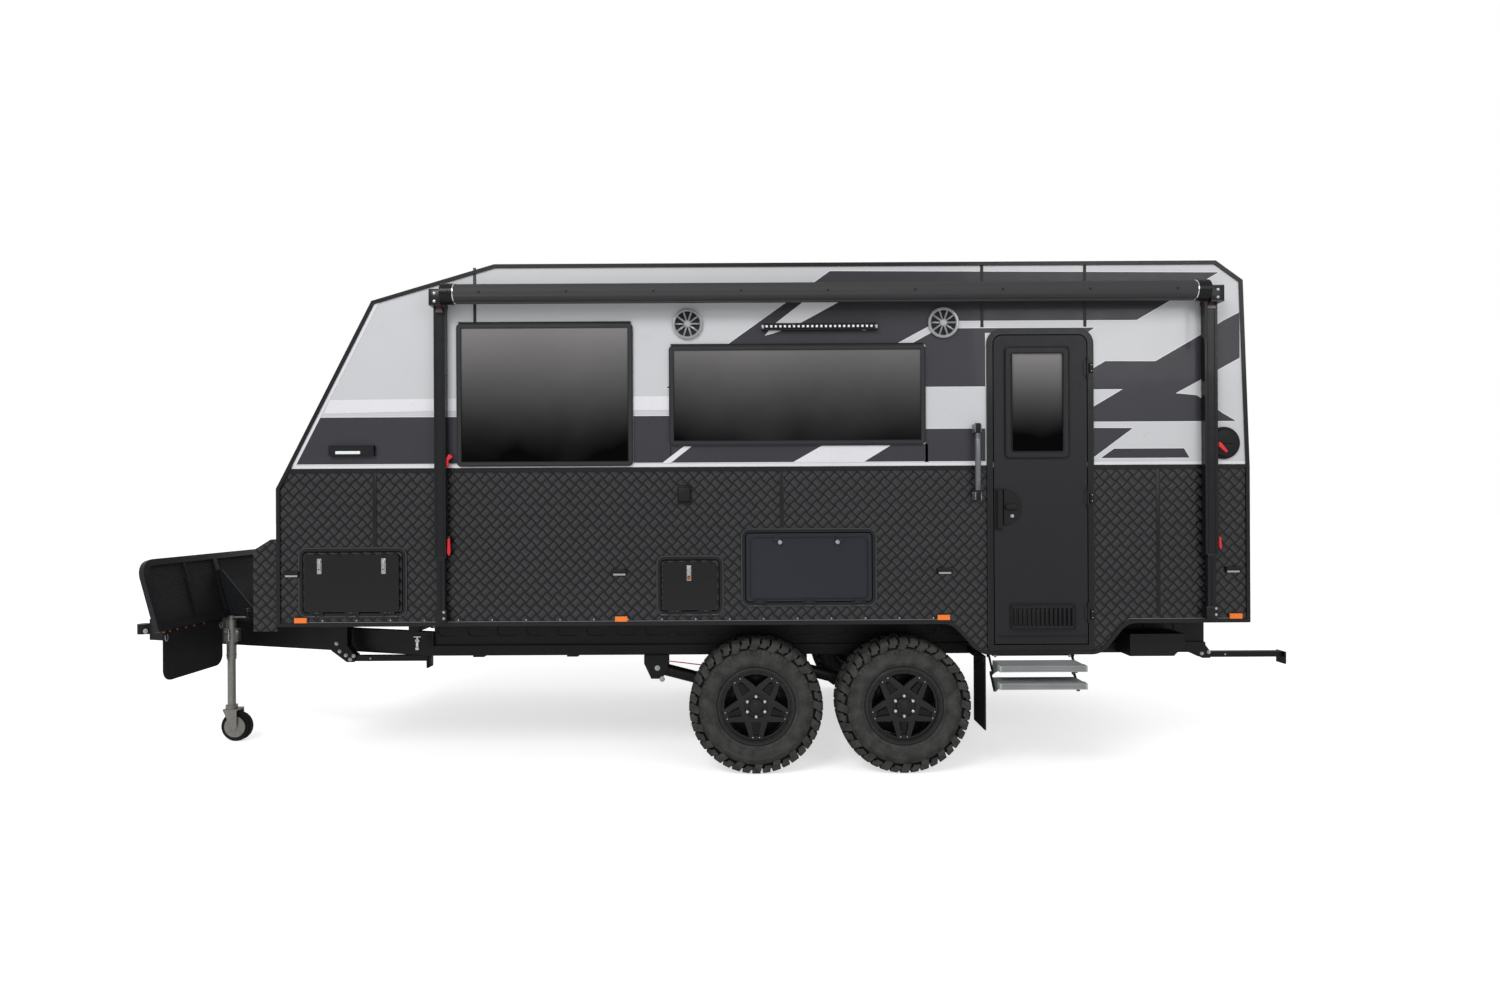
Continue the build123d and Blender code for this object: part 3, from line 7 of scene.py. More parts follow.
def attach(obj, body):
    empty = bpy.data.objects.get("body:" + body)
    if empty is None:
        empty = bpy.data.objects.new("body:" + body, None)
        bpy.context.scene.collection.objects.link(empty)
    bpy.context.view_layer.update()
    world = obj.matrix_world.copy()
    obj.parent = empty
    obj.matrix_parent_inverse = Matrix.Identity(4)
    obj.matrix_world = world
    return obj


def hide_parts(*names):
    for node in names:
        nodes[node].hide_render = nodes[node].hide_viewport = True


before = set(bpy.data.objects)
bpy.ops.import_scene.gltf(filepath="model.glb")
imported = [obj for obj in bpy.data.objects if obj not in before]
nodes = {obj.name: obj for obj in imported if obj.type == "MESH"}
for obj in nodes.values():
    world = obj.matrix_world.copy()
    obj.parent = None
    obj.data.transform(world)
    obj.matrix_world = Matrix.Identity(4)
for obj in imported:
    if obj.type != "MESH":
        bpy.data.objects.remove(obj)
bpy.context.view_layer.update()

scene = bpy.context.scene
scene.view_settings.view_transform = "Standard"

side_y = 1.22          # outer face of the side walls
wheel_places = {"front_near": (4.483, -1.06), "front_far": (4.483, 1.06),
                "rear_near": (5.365, -1.06), "rear_far": (5.365, 1.06)}
axle_z = -0.2986
axes = {"X": (1, 0, 0), "Y": (0, 1, 0), "Z": (0, 0, 1)}


# Materials

def srgb(r, g, b):
    """Linear colour from the three values seen in the photograph."""
    def linear(v):
        v = v / 255
        return v / 12.92 if v <= 0.04045 else ((v + 0.055) / 1.055) ** 2.4
    return (linear(r), linear(g), linear(b), 1.0)


def shade(colour, by):
    return tuple(min(1.0, v * by) for v in colour[:3]) + (1.0,)


class Finish:
    """A material on Object coordinates, with its nodes added one by one."""

    def __init__(self, name, roughness=0.5, metallic=0.0, coat=0.0, coat_roughness=0.05):
        self.mat = bpy.data.materials.new(name)
        self.mat.use_nodes = True
        self.tree = self.mat.node_tree
        self.shader = self.tree.nodes["Principled BSDF"]
        self.shader.inputs["Roughness"].default_value = roughness
        self.shader.inputs["Metallic"].default_value = metallic
        self.shader.inputs["Coat Weight"].default_value = coat
        self.shader.inputs["Coat Roughness"].default_value = coat_roughness
        self.place = self.add("ShaderNodeTexCoord").outputs["Object"]

    def add(self, kind, **settings):
        node = self.tree.nodes.new(kind)
        for name, value in settings.items():
            setattr(node, name, value)
        return node

    def join(self, source, node, socket):
        if isinstance(source, (int, float, tuple)):
            node.inputs[socket].default_value = source
        else:
            self.tree.links.new(source, node.inputs[socket])

    def stretched(self, scale):
        node = self.add("ShaderNodeMapping")
        node.inputs["Scale"].default_value = scale
        self.join(self.place, node, "Vector")
        return node.outputs[0]

    def noise(self, scale, detail=3.0, vector=None):
        node = self.add("ShaderNodeTexNoise")
        node.inputs["Scale"].default_value = scale
        node.inputs["Detail"].default_value = detail
        self.join(vector or self.place, node, "Vector")
        return node.outputs[0]

    def sum(self, operation, a, b=0.0, clamp=False):
        node = self.add("ShaderNodeMath", operation=operation, use_clamp=clamp)
        self.join(a, node, 0)
        self.join(b, node, 1)
        return node.outputs[0]

    def spread(self, value, low, high, to_low=0.0, to_high=1.0):
        node = self.add("ShaderNodeMapRange")
        self.join(value, node, 0)
        for i, v in enumerate((low, high, to_low, to_high)):
            node.inputs[i + 1].default_value = v
        return node.outputs[0]

    def mix(self, share, first, second):
        node = self.add("ShaderNodeMix", data_type="RGBA")
        self.join(share, node, 0)
        self.join(first, node, 6)
        self.join(second, node, 7)
        return node.outputs[2]

    def axis(self, name, vector=None):
        node = self.add("ShaderNodeSeparateXYZ")
        self.join(vector or self.place, node, 0)
        return node.outputs[name]

    def colour(self, source):
        self.join(source, self.shader, "Base Color")
        return self

    def rough(self, source):
        self.join(source, self.shader, "Roughness")
        return self

    def bump(self, height, depth=0.001, strength=1.0):
        node = self.add("ShaderNodeBump")
        node.inputs["Distance"].default_value = depth
        node.inputs["Strength"].default_value = strength
        self.join(height, node, "Height")
        self.join(node.outputs[0], self.shader, "Normal")
        return self


def paint(name, colour, roughness=0.4, metallic=0.0, coat=0.0, mottle=0.05, mottle_scale=3.0,
          grain=400.0, depth=0.0002, spread=0.06):
    """Even finish with slow changes of tone, a fine grain and a little wear in its gloss."""
    colour = srgb(*colour)
    f = Finish(name, roughness, metallic, coat)
    f.shader.inputs["Specular IOR Level"].default_value = 0.3 if colour[0] < 0.1 else 0.5
    slow = f.noise(mottle_scale, 4.0)
    f.colour(f.mix(f.spread(slow, 0.3, 0.7), shade(colour, 1 - mottle), shade(colour, 1 + mottle)))
    f.rough(f.spread(f.noise(mottle_scale * 9, 3.0), 0.25, 0.75, max(0.02, roughness - spread),
                     roughness + spread))
    f.bump(f.noise(grain, 2.0), depth)
    return f.mat


def composite_panel(name, colour):
    """Glossy composite sheet: faint waviness, and a tone that runs darker towards the bottom."""
    colour = srgb(*colour)
    f = Finish(name, 0.32, 0.0, 0.25, 0.08)
    # Colour darker towards the bottom and lighter towards the top, by height
    tone_shift = f.spread(f.axis("Z"), 1.0, 2.6, 0.05, -0.02)
    tone = f.sum("ADD", f.spread(f.noise(0.8, 3.0), 0.35, 0.65, -0.03, 0.03), tone_shift)
    f.colour(f.mix(f.sum("ADD", tone, 0.5, True), shade(colour, 1.1), shade(colour, 0.9)))
    f.rough(f.spread(f.noise(6.0, 3.0), 0.3, 0.7, 0.27, 0.38))
    f.bump(f.noise(2.2, 2.0), 0.0012, 0.5)
    return f.mat


def checkerplate(name, across):
    """Black tread sheet: raised squares set on their corners, ribbed by turns, with grooves between. The grooves
    are painted near black as shade, and each bar is painted lighter towards one side as a highlight.
    """
    f = Finish(name, 0.3, 0.0, 0.1, 0.15)
    f.shader.inputs["Specular IOR Level"].default_value = 0.32
    # Painted shade and highlight: the near-black colour is shade in the grooves, and the bars run from their
    # dark grey to a painted highlight
    groove_painted_shade, low, high = srgb(9, 9, 10), srgb(33, 33, 35), srgb(60, 60, 63)
    side = 0.047
    pitch = side * 1.4142
    keep_positive = 400.0
    z = f.axis("Z")
    run = f.axis(across)
    u = f.sum("ADD", f.sum("DIVIDE", f.sum("ADD", run, z), pitch), keep_positive)
    v = f.sum("ADD", f.sum("DIVIDE", f.sum("SUBTRACT", run, z), pitch), keep_positive)
    odd = f.sum("MODULO", f.sum("ADD", f.sum("FLOOR", u), f.sum("FLOOR", v)), 2.0)
    even = f.sum("SUBTRACT", 1.0, odd)
    in_u = f.sum("FRACT", u)
    in_v = f.sum("FRACT", v)
    across_bar = f.sum("ADD", f.sum("MULTIPLY", in_u, odd), f.sum("MULTIPLY", in_v, even))
    along_bar = f.sum("ADD", f.sum("MULTIPLY", in_v, odd), f.sum("MULTIPLY", in_u, even))
    crown = f.sum("SUBTRACT", 0.5, f.sum("ABSOLUTE", f.sum("SUBTRACT", across_bar, 0.5)))
    length = f.sum("SUBTRACT", 0.5, f.sum("ABSOLUTE", f.sum("SUBTRACT", along_bar, 0.5)))
    raised = f.sum("MULTIPLY", f.spread(crown, 0.1, 0.22), f.spread(length, 0.02, 0.1))
    # Painted highlight on one side of each bar, fading to the bar's dark grey on its other side
    lit = f.sum("MULTIPLY", raised, f.spread(across_bar, 0.15, 0.85, 1.0, 0.25))
    worn = f.spread(f.noise(3.0), 0.3, 0.7, -0.05, 0.05)
    f.colour(f.mix(raised, groove_painted_shade, f.mix(f.sum("ADD", lit, worn, True), low, high)))
    f.rough(f.spread(f.noise(14.0), 0.3, 0.7, 0.24, 0.4))
    f.bump(raised, 0.0016, 0.7)
    return f.mat


def window_pane(name, top_z, bottom_z):
    """Dark acrylic pane, with a painted reflection that turns it greyer towards its top."""
    f = Finish(name, 0.06)
    f.shader.inputs["Specular IOR Level"].default_value = 0.04
    # Painted reflection: near black at the bottom of the pane, easing to grey at its top, with slow noise in it
    fall = f.spread(f.axis("Z"), bottom_z, top_z)
    eased = f.sum("POWER", fall, 1.9)
    painted_reflection = f.sum("ADD", eased, f.spread(f.noise(1.4), 0.3, 0.7, -0.05, 0.05), True)
    f.colour(f.mix(painted_reflection, srgb(3, 3, 4), srgb(138, 136, 136)))
    f.rough(f.spread(f.noise(5.0), 0.3, 0.7, 0.04, 0.09))
    return f.mat


def tyre_rubber():
    """Dull rubber, paler in random dusty patches, with a fine grain in its surface."""
    f = Finish("tyre_rubber", 0.66)
    f.shader.inputs["Specular IOR Level"].default_value = 0.3
    tone_shift = f.noise(16.0, 6.0)
    f.colour(f.mix(f.spread(tone_shift, 0.35, 0.75), srgb(48, 48, 48), srgb(74, 73, 70)))
    f.rough(f.spread(f.noise(30.0, 3.0), 0.3, 0.7, 0.62, 0.82))
    f.bump(f.noise(260.0, 3.0), 0.0006, 0.7)
    return f.mat


def woven_cloth(name, colour, pitch=0.003):
    """Coated cloth: a fine square weave over slow folds, its colour painted darker in the folds' troughs and
    lighter on their crests as shade and highlight.
    """
    colour = srgb(*colour)
    f = Finish(name, 0.62)
    x = f.sum("SINE", f.sum("MULTIPLY", f.axis("X"), 2 * pi / pitch))
    z = f.sum("SINE", f.sum("MULTIPLY", f.axis("Z"), 2 * pi / pitch))
    weave = f.sum("MULTIPLY", x, z)
    slow = f.noise(5.0, 4.0, f.stretched((0.25, 1, 1)))
    # Painted shade and highlight: the colour follows the same noise as the folds' bump, darker in the troughs
    # and lighter on the crests
    f.colour(f.mix(f.spread(slow, 0.3, 0.7), shade(colour, 0.86), shade(colour, 1.14)))
    f.rough(f.spread(slow, 0.3, 0.7, 0.55, 0.7))
    f.bump(f.sum("ADD", f.sum("MULTIPLY", weave, 0.35), slow), 0.0008, 0.6)
    return f.mat


def brushed(name, colour, roughness=0.34, along="X", metallic=0.9):
    """Drawn or brushed metal, with its lines along one axis."""
    colour = srgb(*colour)
    f = Finish(name, roughness, metallic)
    scale = {"X": (4, 220, 220), "Y": (220, 4, 220), "Z": (220, 220, 4)}[along]
    lines = f.noise(1.0, 3.0, f.stretched(scale))
    slow = f.noise(7.0, 3.0)
    f.colour(f.mix(f.spread(slow, 0.3, 0.7), shade(colour, 0.92), shade(colour, 1.06)))
    f.rough(f.spread(lines, 0.3, 0.7, roughness - 0.08, roughness + 0.1))
    f.bump(lines, 0.00025, 0.5)
    return f.mat


def galvanised(name, colour, roughness):
    """Zinc-plated steel with its small crystals."""
    colour = srgb(*colour)
    f = Finish(name, roughness, 0.75)
    cells = f.add("ShaderNodeTexVoronoi")
    cells.inputs["Scale"].default_value = 90.0
    f.join(f.place, cells, "Vector")
    tone = f.axis("X", cells.outputs["Color"])
    f.colour(f.mix(f.spread(tone, 0.0, 1.0), shade(colour, 0.86), shade(colour, 1.08)))
    f.rough(f.spread(tone, 0.0, 1.0, roughness - 0.08, roughness + 0.08))
    f.bump(f.noise(120.0, 3.0), 0.0002, 0.5)
    return f.mat


def lens(name, colour, ribs, along, glow=0.0):
    """Moulded lens with ribs inside."""
    f = Finish(name, 0.12, 0.0, 0.6, 0.03)
    wave = f.sum("SINE", f.sum("MULTIPLY", f.axis(along), 2 * pi / ribs))
    colour = srgb(*colour)
    tone = f.spread(wave, -1.0, 1.0)
    f.colour(f.mix(tone, shade(colour, 0.8), shade(colour, 1.15)))
    f.shader.inputs["Emission Color"].default_value = colour
    f.shader.inputs["Emission Strength"].default_value = glow
    f.bump(wave, 0.0005, 0.6)
    return f.mat


silver = composite_panel("silver_panel", (206, 207, 210))
white_line = paint("white_line", (230, 230, 234), 0.3, coat=0.3, mottle=0.02)
dark_film = paint("dark_film", (57, 56, 62), 0.34, coat=0.1, mottle=0.06, mottle_scale=1.2)
plate_side = checkerplate("checkerplate_side", "X")
plate_front = checkerplate("checkerplate_front", "Y")
black_sheet = paint("black_sheet", (20, 20, 21), 0.3, coat=0.1, mottle=0.08)
trim_black = paint("trim_black", (21, 22, 24), 0.34, mottle=0.08, mottle_scale=6, coat=0.1)
frame_grey = paint("frame_grey", (44, 46, 49), 0.42, mottle=0.05, mottle_scale=8)
bead_grey = paint("bead_grey", (66, 68, 72), 0.3, coat=0.2, mottle=0.06, mottle_scale=8)
frame_dark = paint("frame_dark", (10, 10, 11), 0.5, mottle=0.05, mottle_scale=8)
rubber_black = paint("rubber_black", (17, 17, 18), 0.66, mottle=0.12, mottle_scale=9, depth=0.0004)
door_paint = paint("door_paint", (32, 31, 36), 0.4, mottle=0.05, mottle_scale=2, grain=700, depth=0.0003)
table_paint = paint("table_paint", (36, 39, 47), 0.34, coat=0.1, mottle=0.06, mottle_scale=2)
chassis_black = paint("chassis_black", (15, 15, 16), 0.44, mottle=0.14, mottle_scale=5, grain=220,
                      depth=0.0004)
wheel_black = paint("wheel_black", (27, 27, 29), 0.3, coat=0.15, mottle=0.08, mottle_scale=14)
wheel_lip = brushed("wheel_lip", (44, 45, 47), 0.3, "Y", 0.3)
chrome = paint("chrome", (226, 227, 230), 0.12, 1.0, mottle=0.03, mottle_scale=40, grain=900, depth=0.00005,
               spread=0.04)
steel = galvanised("plated_steel", (150, 149, 144), 0.42)
bolt_steel = galvanised("bolt_steel", (190, 192, 196), 0.3)
step_alloy = brushed("step_alloy", (160, 161, 163), 0.36, "X", 0.5)
step_end = paint("step_end", (171, 186, 178), 0.5, mottle=0.06, mottle_scale=20)
speaker_silver = paint("speaker_silver", (172, 174, 178), 0.3, 0.4, coat=0.1, mottle=0.04, mottle_scale=20)
amber = lens("amber_lens", (240, 118, 2), 0.005, "X", 0.16)
red = lens("red_lens", (196, 20, 28), 0.008, "Z", 0.03)
white_lens = lens("white_lens", (176, 178, 180), 0.006, "X")
led_white = lens("led_white", (232, 236, 240), 0.004, "X", 0.15)
awning_cloth = woven_cloth("awning_cloth", (50, 50, 52))
strap_cloth = woven_cloth("strap_cloth", (40, 40, 42), 0.002)
red_plastic = paint("red_plastic", (226, 34, 42), 0.35, coat=0.3, mottle=0.06, mottle_scale=30)
copper = paint("copper_screw", (176, 104, 62), 0.32, 0.8, mottle=0.1, mottle_scale=60)
guard_grey = paint("guard_grey", (38, 39, 42), 0.3, 0.2, coat=0.1, mottle=0.06, mottle_scale=6)
wire_grey = paint("wire_grey", (38, 38, 40), 0.45, 0.2, mottle=0.08, mottle_scale=10)
alloy_light = brushed("light_alloy", (118, 120, 124), 0.35, "Z", 0.5)
arm_paint = paint("arm_paint", (20, 21, 24), 0.3, coat=0.1, mottle=0.06)
roof_white = composite_panel("roof_sheet", (214, 215, 217))
unit_white = paint("unit_white", (222, 222, 220), 0.42, mottle=0.03, mottle_scale=5)
plastic_black = paint("plastic_black", (18, 18, 20), 0.5, mottle=0.08, mottle_scale=10, depth=0.0004)

look = {
    "upper_walls": silver, "front_slope": silver, "roof": roof_white, "rear_wall": silver,
    "lower_walls": plate_side, "front_wall": plate_front, "front_boot": plate_side, "boot_lid": plate_front,
    "floor": chassis_black, "edge_trim": trim_black, "window_frames": frame_grey,
    "window_glass": window_pane("window_pane", 1.98, 1.14), "door_glass": window_pane("door_pane", 1.8, 1.21),
    "entry_door": door_paint, "door_frames": trim_black, "table_hatch": table_paint, "small_hatch": plate_side,
    "tunnel_hatch_near": plate_side, "tunnel_hatch_far": plate_side, "locker_liners": plastic_black,
    "amber_lamps": amber, "tail_lamps": red, "clear_lamps": white_lens,
    "guard_frame": guard_grey, "guard_mesh": wire_grey, "rubber_flaps": rubber_black,
    "jockey_sleeve": steel, "jockey_tube": steel, "jockey_fork": steel, "jockey_wheel": rubber_black,
    "step_tread_upper": step_alloy, "step_tread_lower": step_alloy,
    "awning_roller": awning_cloth, "awning_arms": arm_paint, "underbody_tanks": plastic_black,
    "coupling": chassis_black, "roof_equipment": unit_white, "vent_lid": plastic_black,
    "springs_dampers": chassis_black, "trailing_arms": chassis_black,
}
rubber = tyre_rubber()
for name, node in nodes.items():
    kind = {"tyre": rubber, "rim": wheel_black}.get(name.split("_")[0], chassis_black)
    for holder in node.material_slots:
        holder.material = look.get(name, kind)


# Ways of making a piece

def start():
    """Nothing selected, so that an operator acts on the new piece alone."""
    if bpy.context.object and bpy.context.object.mode != "OBJECT":
        bpy.ops.object.mode_set(mode="OBJECT")
    bpy.ops.object.select_all(action="DESELECT")


def pick(piece):
    start()
    piece.select_set(True)
    bpy.context.view_layer.objects.active = piece
    return piece


def settle_place():
    bpy.ops.object.transform_apply(location=True, rotation=True, scale=True)


def worked(kind, **settings):
    """The active piece, with a modifier added and applied."""
    piece = bpy.context.object
    modifier = piece.modifiers.new(kind.lower(), kind)
    for name, value in settings.items():
        setattr(modifier, name, value)
    bpy.ops.object.modifier_apply(modifier=modifier.name)
    return piece


def soften(width, steps=2, angle=35):
    piece = worked("BEVEL", width=width, segments=steps, limit_method="ANGLE", angle_limit=radians(angle))
    bpy.ops.object.shade_smooth_by_angle(angle=radians(angle))
    return piece


def about(middle_value, reach):
    """A pair of limits either side of a value."""
    return middle_value - reach, middle_value + reach


def block(mat, x, y, z, edge=0.002, steps=2):
    """Block between three pairs of limits, with its edges rounded."""
    start()
    sizes = [abs(b - a) for a, b in (x, y, z)]
    bpy.ops.mesh.primitive_cube_add(size=1.0, location=[(a + b) / 2 for a, b in (x, y, z)], scale=sizes)
    settle_place()
    soften(min(edge, min(sizes) * 0.45), steps)
    return dressed(mat)


def dressed(mat):
    piece = bpy.context.object
    piece.data.materials.clear()
    piece.data.materials.append(mat)
    return piece


def rod(mat, first, last, radius, sides=24, edge=0.001):
    """Round bar between two points, with its ends broken."""
    start()
    first, last = Vector(first), Vector(last)
    run = last - first
    turn = run.to_track_quat("Z", "Y").to_euler()
    bpy.ops.mesh.primitive_cylinder_add(vertices=sides, radius=radius, depth=run.length,
                                        location=(first + last) / 2, rotation=turn)
    settle_place()
    soften(min(edge, radius * 0.4, run.length * 0.4), 2, 50)
    return dressed(mat)


def run_through(line, points, closed=True, kind="POLY"):
    """Adds a line through the points to a curve."""
    spline = line.splines.new(kind)
    spline.points.add(len(points) - 1)
    for point, place in zip(spline.points, points):
        point.co = (*place, 1)
    spline.use_cyclic_u = closed
    return spline


def meshed(line):
    """The curve turned into a mesh piece, ready to work on."""
    piece = bpy.data.objects.new(line.name, line)
    scene.collection.objects.link(piece)
    pick(piece)
    bpy.ops.object.convert(target="MESH")
    return bpy.context.object


def flat_mesh(outlines, thickness, inside=0.0):
    """Flat sheet filled between closed outlines in X and Y, its edge drawn in."""
    line = bpy.data.curves.new("sheet", "CURVE")
    line.dimensions = "2D"
    line.fill_mode = "BOTH"
    line.extrude = thickness / 2
    line.offset = -inside
    for outline in outlines:
        run_through(line, [(a, b, 0) for a, b in outline])
    return meshed(line)


def turned(mat, profile, sides=48, along="Y", closed=False):
    """Solid of revolution about an axis through the origin, from pairs of radius and place along it."""
    line = bpy.data.curves.new("profile", "CURVE")
    line.dimensions = "3D"
    places = {"X": lambda r, a: (a, r, 0), "Y": lambda r, a: (r, a, 0), "Z": lambda r, a: (r, 0, a)}[along]
    run_through(line, [places(r, a) for r, a in profile], closed)
    meshed(line)
    bpy.ops.object.mode_set(mode="EDIT")
    bpy.ops.mesh.select_all(action="SELECT")
    bpy.ops.mesh.spin(steps=sides, angle=2 * pi, center=(0, 0, 0), axis=axes[along])
    bpy.ops.mesh.select_all(action="SELECT")
    bpy.ops.mesh.remove_doubles(threshold=0.00005)
    bpy.ops.mesh.normals_make_consistent(inside=False)
    bpy.ops.object.mode_set(mode="OBJECT")
    bpy.ops.object.shade_smooth_by_angle(angle=radians(32))
    return dressed(mat)


def moved(piece, by):
    pick(piece)
    bpy.ops.transform.translate(value=by)
    settle_place()
    return piece


def twin(piece, by=(0, 0, 0)):
    """A copy with its own mesh, moved."""
    pick(piece)
    bpy.ops.object.duplicate(linked=False)
    bpy.ops.transform.translate(value=by)
    settle_place()
    return bpy.context.object


def joined(*pieces):
    start()
    for piece in pieces:
        piece.select_set(True)
    bpy.context.view_layer.objects.active = pieces[0]
    if len(pieces) > 1:
        bpy.ops.object.join()
    return bpy.context.object


def row(piece, count, step):
    """The piece repeated in a straight row."""
    pick(piece)
    return worked("ARRAY", count=count, use_relative_offset=False, use_constant_offset=True,
                  constant_offset_displace=step)


def ring(piece, count):
    """The piece repeated round the Y axis."""
    start()
    bpy.ops.object.empty_add(location=(0, 0, 0), rotation=(0, 2 * pi / count, 0))
    guide = bpy.context.object
    pick(piece)
    worked("ARRAY", count=count, use_relative_offset=False, use_object_offset=True, offset_object=guide)
    bpy.data.objects.remove(guide)
    return pick(piece)


def far_copy(piece):
    """The same piece on the other side of the caravan."""
    pick(piece)
    bpy.ops.object.duplicate(linked=False)
    copy = bpy.context.object
    copy.scale = (1, -1, 1)
    settle_place()
    bpy.ops.object.mode_set(mode="EDIT")
    bpy.ops.mesh.select_all(action="SELECT")
    bpy.ops.mesh.normals_make_consistent(inside=False)
    bpy.ops.object.mode_set(mode="OBJECT")
    return copy


def both(piece):
    return joined(piece, far_copy(piece))


def far_only(piece):
    copy = far_copy(piece)
    bpy.data.objects.remove(piece)
    return pick(copy)


def placed(name, piece, body="caravan", stands_for=()):
    """Names a finished piece and lets it ride on its body."""
    piece.name = name
    piece.data.name = name
    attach(piece, body)
    if stands_for:
        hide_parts(*stands_for)
    return piece


def on_side(mat, outlines, out_y, thickness=0.0002, inside=0.0):
    """Flat sheet on the near side, between outlines in X and Z, this far from the caravan's middle."""
    piece = flat_mesh(outlines, thickness, inside)
    piece.rotation_euler = (radians(90), 0, 0)
    piece.location = (0, -out_y, 0)
    settle_place()
    return dressed(mat)


def film(mat, outline, proud, inside=0.0):
    """Thin film on the near side wall, standing this far from it."""
    return on_side(mat, [outline], side_y + proud, inside=inside)


def rounded_outline(x, z, corner, steps=5):
    """Corners of a rectangle with round corners, in X and Z."""
    points = []
    for cx, cz, turn in ((x[1] - corner, z[1] - corner, 0), (x[0] + corner, z[1] - corner, 90),
                         (x[0] + corner, z[0] + corner, 180), (x[1] - corner, z[0] + corner, 270)):
        for i in range(steps + 1):
            a = radians(turn + 90 * i / steps)
            points.append((cx + corner * cos(a), cz + corner * sin(a)))
    return points


def fine_frame(mat, x, z, insets, corners, out_y, thickness, steps=5):
    """Thin closed line inside a rectangle: how far in its two edges lie, and the radius of their corners."""
    outlines = [rounded_outline((x[0] + inset, x[1] - inset), (z[0] + inset, z[1] - inset), corner, steps)
                for inset, corner in zip(insets, corners)]
    return on_side(mat, outlines, out_y, thickness)


def from_node(name):
    """Loose parts of a solid, as new pieces that can each have a finish of their own."""
    pick(nodes[name])
    bpy.ops.object.duplicate(linked=False)
    copy = bpy.context.object
    copy.parent = None
    for modifier in list(copy.modifiers):
        copy.modifiers.remove(modifier)
    bpy.ops.object.mode_set(mode="EDIT")
    bpy.ops.mesh.select_all(action="SELECT")
    bpy.ops.mesh.remove_doubles(threshold=0.00002)
    bpy.ops.mesh.separate(type="LOOSE")
    bpy.ops.object.mode_set(mode="OBJECT")
    parts = list(bpy.context.selected_objects)
    for part in parts:
        pick(part)
        bpy.ops.object.shade_smooth_by_angle(angle=radians(32))
    return parts


def middle(piece):
    corners = [v.co for v in piece.data.vertices]
    low = [min(c[i] for c in corners) for i in range(3)]
    high = [max(c[i] for c in corners) for i in range(3)]
    return [(a + b) / 2 for a, b in zip(low, high)], low, high


def repaint(piece, mat):
    pick(piece)
    return dressed(mat)


def extruded(mat, outline, along, limits, edge=0.0):
    """Outline pushed between two limits. Its pairs are Y and Z along X, X and Z along Y, X and Y along Z."""
    piece = flat_mesh([outline], abs(limits[1] - limits[0]))
    mid = (limits[0] + limits[1]) / 2
    turns = {"X": (radians(90), 0, radians(90)), "Y": (radians(90), 0, 0), "Z": (0, 0, 0)}
    piece.rotation_euler = turns[along]
    piece.location = {"X": (mid, 0, 0), "Y": (0, mid, 0), "Z": (0, 0, mid)}[along]
    settle_place()
    bpy.ops.object.mode_set(mode="EDIT")
    bpy.ops.mesh.select_all(action="SELECT")
    bpy.ops.mesh.remove_doubles(threshold=0.00002)
    bpy.ops.mesh.dissolve_limited(angle_limit=radians(1))
    bpy.ops.mesh.normals_make_consistent(inside=False)
    bpy.ops.object.mode_set(mode="OBJECT")
    if edge:
        soften(edge, 1, 30)
    return dressed(mat)


def tube(mat, points, radius, sides=10):
    """Bent pipe or bar through points, its corners smooth."""
    line = bpy.data.curves.new("pipe", "CURVE")
    line.dimensions = "3D"
    line.bevel_depth = radius
    line.bevel_resolution = max(1, sides // 4 - 1)
    line.use_fill_caps = True
    spline = run_through(line, points, closed=False, kind="NURBS")
    spline.order_u = 3
    spline.use_endpoint_u = True
    meshed(line)
    bpy.ops.object.shade_smooth_by_angle(angle=radians(40))
    return dressed(mat)


def hex_bolt(place, along, radius=0.009, height=0.007):
    """Bolt head with its washer, standing out of a face at a place."""
    out = Vector(along)
    place = Vector(place)
    head = rod(bolt_steel, place + out * 0.002, place + out * height, radius, 6, 0.0012)
    washer = rod(bolt_steel, place - out * 0.001, place + out * 0.002, radius * 1.45, 16, 0.0005)
    return joined(head, washer)


def turn_about(piece, angle, along="Y"):
    """Turns the piece about an axis through the origin."""
    pick(piece)
    piece.matrix_world = Matrix.Rotation(angle, 4, Vector(axes[along])) @ piece.matrix_world
    settle_place()
    return piece


# Camera

view = bpy.data.cameras.new("camera")
view.lens = 20.33
view.sensor_width = 36.0
camera = bpy.data.objects.new("camera", view)
scene.collection.objects.link(camera)
camera.location = (4.457, -6.22, 0.93)
camera.rotation_euler = (radians(90) + 0.0006, 0.0051, 0.0008)
scene.camera = camera


# Films on the side walls

